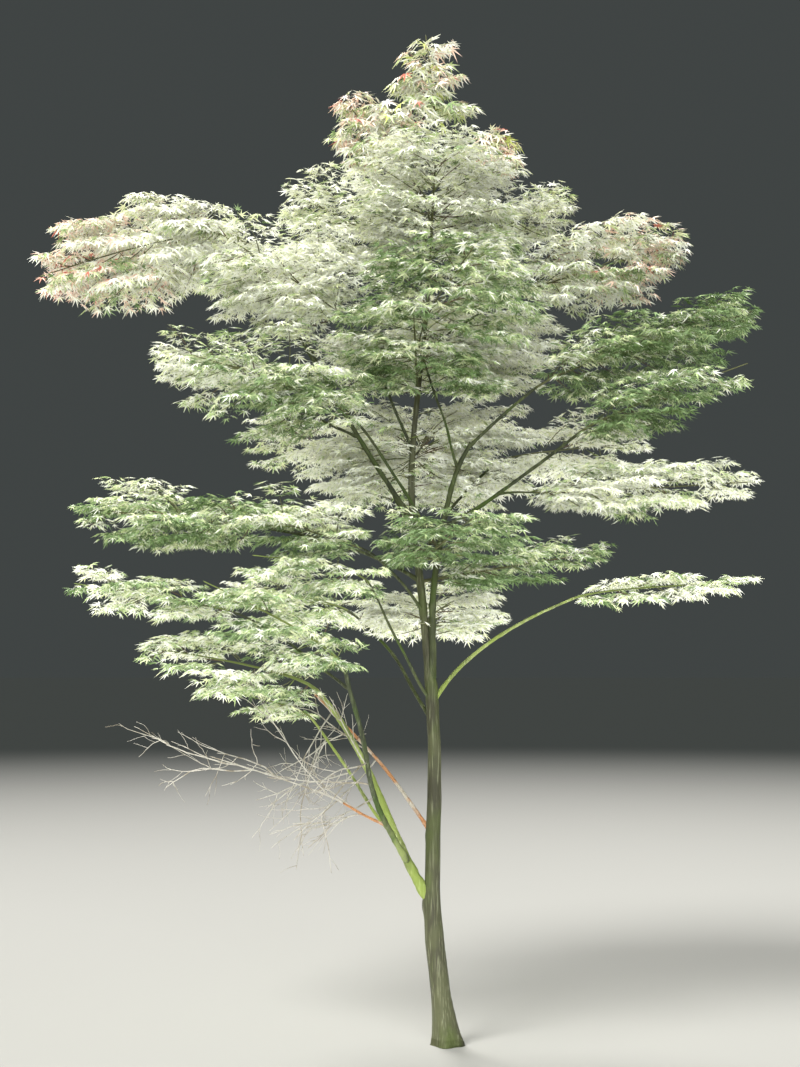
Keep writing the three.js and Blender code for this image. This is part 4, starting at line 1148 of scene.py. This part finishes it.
def grow(own):
    """All twigs and leaves of one mass. The leaves stand in pairs along each twig, and one ends it."""
    rng = np.random.default_rng(own.seed)
    side = side_twigs(own, rng)
    fine, carrier = fine_twigs(own, rng, side)
    light = painted_spray_light(own, rng, side.part_way(0.5))
    side_flush = flush(own, rng, side.part_way(1.0))
    fine_flush = flush(own, rng, fine.start)
    leaves = []
    for twigs, first, lit, flushed in (
            (fine, FIRST_ON_FINE, light[carrier], fine_flush),
            (side, FIRST_ON_SIDE * side.length, light, side_flush)):
        which, s, hand = in_pairs(*twigs.stations(first, NODE_SPACING))
        ends = np.arange(len(twigs.start))
        for which, s, angle in (
                (which, s, hand * np.radians(LEAF_TURN)), (ends, twigs.length, 0.0 * ends)):
            leaves.append(leaves_on(
                own, rng, twigs.at(which, s), twigs.ahead(which, s), angle, lit[which], flushed[which]))
    leaves = {name: np.concatenate([row[name] for row in leaves]) for name in leaves[0]}
    return side, fine, leaves


def leaf_parts(rng, leaves):
    """The leaf patterns, set on their stalks: corner = root + size · (x axis + y across + z face)."""
    parts = []
    for many, (corners, triangles) in enumerate(LEAF_PATTERNS):
        chosen = {name: values[leaves["many"] == bool(many)] for name, values in leaves.items()}
        x, y, z = corners[:, 0, None], corners[:, 1, None], corners[:, 2, None]
        hang = mix(*LEAF_HANG, rng.random((len(chosen["root"]), 1, 1)))
        spread = (
            x * chosen["axis"][:, None] + y * chosen["across"][:, None]
            + z * hang * chosen["face"][:, None])
        points = chosen["root"][:, None] + chosen["size"][:, None, None] * spread
        points[:, -2] = chosen["node"] + STALK_HALF_WIDTH * chosen["across"]
        points[:, -1] = chosen["node"] - STALK_HALF_WIDTH * chosen["across"]
        tone = np.repeat(chosen["tone"][:, None], len(triangles), 1)
        splashed = rng.random(tone.shape) < SPLASHED
        tone[splashed] = SPLASH_OF[tone[splashed]]
        parts.append((points, triangles, tone))
    return parts


# Radii at root and tip, and the shares of olive, brown and one more tone
SIDE_RADII, FINE_RADII = (0.0027, 0.001), (0.001, 0.0007)
SIDE_SHARES, FINE_SHARES = [0.6, 0.25, 0.15], [0.4, 0.2, 0.4]
# How far a stem starts inside its limb, and how far its point lies beyond its last ring
STEM_SUNK, STEM_POINT = 0.004, 0.01


def twig_parts(own, rng, side, fine):
    """The stem and both orders of twigs as closed tapering tubes."""
    t = np.concatenate([[0, 0], np.linspace(0.01, 1, 9), [1]])
    line = own.stem.at(t)
    line[0] = line[0] - own.start * STEM_SUNK
    line[-1] = line[-1] + own.axes[0] * STEM_POINT
    last = RED if own.palette in ("young", "crest") else MOSS
    side_tone = rng.choice([OLIVE, BROWN, MOSS], len(side.start), p=SIDE_SHARES)
    fine_tone = rng.choice([OLIVE, BROWN, last], len(fine.start), p=FINE_SHARES)
    return [
        tube_part(line[None], own.stem.radius(t[1:-1]), 8, MOSS if own.part == "low" else OLIVE),
        tube_part(side.lines(8), np.linspace(*SIDE_RADII, 6), 5, side_tone[:, None]),
        tube_part(fine.lines(4), FINE_RADII, 3, fine_tone[:, None]),
    ]


# %% [markdown]
# ## The crown
#
# The masses are joined by the part of the crown that they belong to, with leaves and twigs apart, which
# keeps each mesh small enough to handle. The imported solids of those masses are hidden in their place.

# %% Crown
PARTS = {
    "low": "leaf_white", "front": "leaf_sage", "right": "leaf_sage",
    "left": "leaf_blush", "back": "leaf_white", "middle": "leaf_white", "crest": "leaf_blush",
}
# Added to a mass's seed for the tones of its twigs, and the splashes and the hang of its leaves
SECOND_SEED = 1000
grown = {}
total = 0
for own in masses:
    if own.palette == "bare":
        continue
    side, fine, leaves = grow(own)
    rng = np.random.default_rng(SECOND_SEED + own.seed)
    grown[own.name] = (leaf_parts(rng, leaves), twig_parts(own, rng, side, fine))
    total += len(leaves["root"])
    print(f"{own.name}: {len(side.start)} side twigs, {len(fine.start)} fine, "
          f"{len(leaves['root'])} leaves")
print(total, "leaves")

for part, slot in PARTS.items():
    names = [own.name for own in masses if own.part == part]
    kinds = [("foliage", leaf_finishes, slot, False), ("twigs", twig_finishes, "bough_bark", True)]
    for i, (kind, finishes, kind_slot, smooth) in enumerate(kinds):
        points, triangles, tones = joined([row for name in names for row in grown[name][i]])
        piece = new_piece(f"{kind}_{part}", points, triangles, finishes, tones, smooth)
        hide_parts(*(f"leaves_{name}" for name in names))

# %% [markdown]
# ## The dead twigs
#
# Below the lowest tiers the shade has killed a whole layer of twigs. They are bleached, brittle and
# crooked, because dead shoots break and others take over. A living twig follows a smooth formula; a
# dead one is better drawn as a walk, whose direction changes a little at random with every step.

# %% Dead twigs
# The limb that bears the twigs, how many, and the first and last share of it
BARE_ON = {
    "dead": (4, 0.35, 1.0), "low_thin": (3, 0.3, 0.95), "low_left": (2, 0.45, 0.95),
    "low_dark": (3, 0.12, 0.7), "dead_side": (2, 0.5, 0.9),
}
BARE_ON_STEM, BARE_SEED = 4, 77
BARE_HEADINGS, BARE_CLIMBS, BARE_LENGTHS = (130, 250), (-58, 52), (0.32, 0.62)
# For the side shoots: how many on each twig, their length as a share of it, and the angle
BARE_ORDERS = [(5, (0.22, 0.5), 34), (2, (0.25, 0.55), 36)]
BARE_STEPS, BARE_KINK, LOWEST_TWIG = 9, 0.1, 0.75
BARE_RADII, BARE_SIDES = [(0.0036, 0.0016), (0.0019, 0.0011), (0.0012, 0.0008)], (6, 4, 3)
BARE_STEM_RADII, BARE_STEM_SIDES = (0.0045, 0.002), 8
ANGLE_VARIES = (0.7, 1.3)


def walk(rng, start, heading, length):
    """A line of even steps, each along a direction that is the last one and a small random turn."""
    turns = BARE_KINK * rng.normal(size=(len(start), BARE_STEPS, 3)).cumsum(1)
    steps = unit(heading[:, None] + turns) * (length / BARE_STEPS)[:, None, None]
    return np.concatenate([start[:, None], start[:, None] + steps.cumsum(1)], axis=1)


def side_walks(rng, lines, count, shares, angle):
    """Shoots from places along each line, turned out of its direction by about the angle, to a
    random side."""
    which = np.repeat(np.arange(len(lines)), count)
    step = rng.integers(2, BARE_STEPS, len(which))
    start = lines[which, step]
    ahead = unit(lines[which, step] - lines[which, step - 1])
    length = np.linalg.norm(lines[:, -1] - lines[:, 0], axis=-1)[which]
    out = square_to(rng.normal(size=ahead.shape), ahead)
    turn = np.radians(angle * mix(*ANGLE_VARIES, rng.random(len(which))))
    heading = swung(ahead, out, turn)
    return walk(rng, start, heading, length * mix(*shares, rng.random(len(which))))


def tapered(lines, radii, sides):
    """Tubes round the lines, thicker at the root, with a point a fifth of a step beyond the end."""
    point = lines[:, -1:] + 0.2 * (lines[:, -1:] - lines[:, -2:-1])
    taper = np.linspace(*radii, lines.shape[1])
    lines = np.concatenate([lines[:, :1], lines, point], 1)
    lines[:, 0] -= TIP_CAP * unit(lines[:, 2] - lines[:, 1])
    return tube_part(lines, taper, sides)


rng = np.random.default_rng(BARE_SEED)
stem = next(own for own in masses if own.palette == "bare").stem
starts = [
    limbs[name].at(mix(first, last, rng.random(count)))
    for name, (count, first, last) in BARE_ON.items()]
starts = np.concatenate([*starts, stem.at(rng.uniform(0.1, 0.9, BARE_ON_STEM))])
headings = np.array([towards(rng.uniform(*BARE_HEADINGS), rng.uniform(*BARE_CLIMBS)) for _ in starts])
walks = [walk(rng, starts, headings, rng.uniform(*BARE_LENGTHS, len(starts)))]
for order in BARE_ORDERS:
    walks.append(side_walks(rng, walks[-1], *order))
walks = [lines[in_box(lines).all(1) & (lines[..., 2] > LOWEST_TWIG).all(1)] for lines in walks]
parts = [tapered(*row) for row in zip(walks, BARE_RADII, BARE_SIDES)]
parts.append(tapered(stem.at(np.linspace(0, 1, 12))[None], BARE_STEM_RADII, BARE_STEM_SIDES))
points, triangles, _ = joined(parts)
dead = new_piece("twigs_bare", points, triangles, [DEAD_TWIG])
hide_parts("twigs_dead")

# %% [markdown]
# ## Floor and light
#
# The tree stands on a plain pale floor. Far off, the floor's paint darkens to the grey of the world
# behind it, so that no hard horizon cuts the picture. The light is soft and comes from four lamps.
# Three are as far off as the sky: one high on the left as the sun was, one high behind the tree, which
# gives the crown its bright rims, and a low one behind the camera. The fourth lies on the floor facing
# up, for the light that sunlit ground throws back, since the tiers are seen from below. No lamp is
# seen itself, and the plain view transform keeps white leaves white.

# %% Floor and light
WORLD_COLOR = (0.052, 0.059, 0.058)
FLOOR_COLOR, FAR_FLOOR_COLOR = (0.34, 0.34, 0.33), (0.0241, 0.0273, 0.0268)
# The distances from the tree between which it darkens
FLOOR_FADES = (3.0, 26.0)
FLOOR_SIZE = 400.0
CROWN_MIDDLE = Vector((0, 0, 2.6))
SUNLIGHT = (1.0, 0.98, 0.93)


def lamp(name, kind, place, power, color, **settings):
    """A lamp that faces the middle of the crown."""
    data = bpy.data.lights.new(name, kind)
    data.energy = power
    data.color = color
    for key, value in settings.items():
        setattr(data, key, value)
    made = add_to_scene(name, data)
    made.location = place
    made.rotation_euler = (CROWN_MIDDLE - Vector(place)).to_track_quat("-Z", "Y").to_euler()
    made.visible_camera = False


floor_finish = Finish("floor_paint", Roughness=1.0, Specular_IOR_Level=0.0)
away = floor_finish.node(
    "ShaderNodeVectorMath", {"operation": "LENGTH"}, {0: floor_finish.place((1, 1, 1))}, 1)
floor_finish.set(Base_Color=floor_finish.blend(away.step(*FLOOR_FADES), FLOOR_COLOR, FAR_FLOOR_COLOR))
half = FLOOR_SIZE / 2
floor_mesh = bpy.data.meshes.new("floor")
floor_mesh.from_pydata(
    [(-half, -half, 0), (half, -half, 0), (half, half, 0), (-half, half, 0)], [], [(0, 1, 2, 3)])
floor_mesh.materials.append(floor_finish.material)
floor = add_to_scene("floor", floor_mesh)

world = bpy.data.worlds.new("studio")
world.use_nodes = True
background = world.node_tree.nodes["Background"].inputs
background["Color"].default_value = (*WORLD_COLOR, 1)
background["Strength"].default_value = 1.0
bpy.context.scene.world = world
bpy.context.scene.view_settings.view_transform = "Standard"
lamp("sky", "SUN", (-4.5, -5.0, 9.5), 4.3, SUNLIGHT, angle=np.radians(24))
lamp("back", "SUN", (-3.0, 6.0, 10.0), 4.2, SUNLIGHT, angle=np.radians(24))
lamp("fill", "SUN", (1.2, -8.0, 3.2), 4.6, (0.98, 1.0, 0.97), angle=np.radians(40))
lamp("ground_light", "AREA", (0, 0, 0.03), 340, (0.99, 1.0, 0.94), shape="SQUARE", size=9.0)
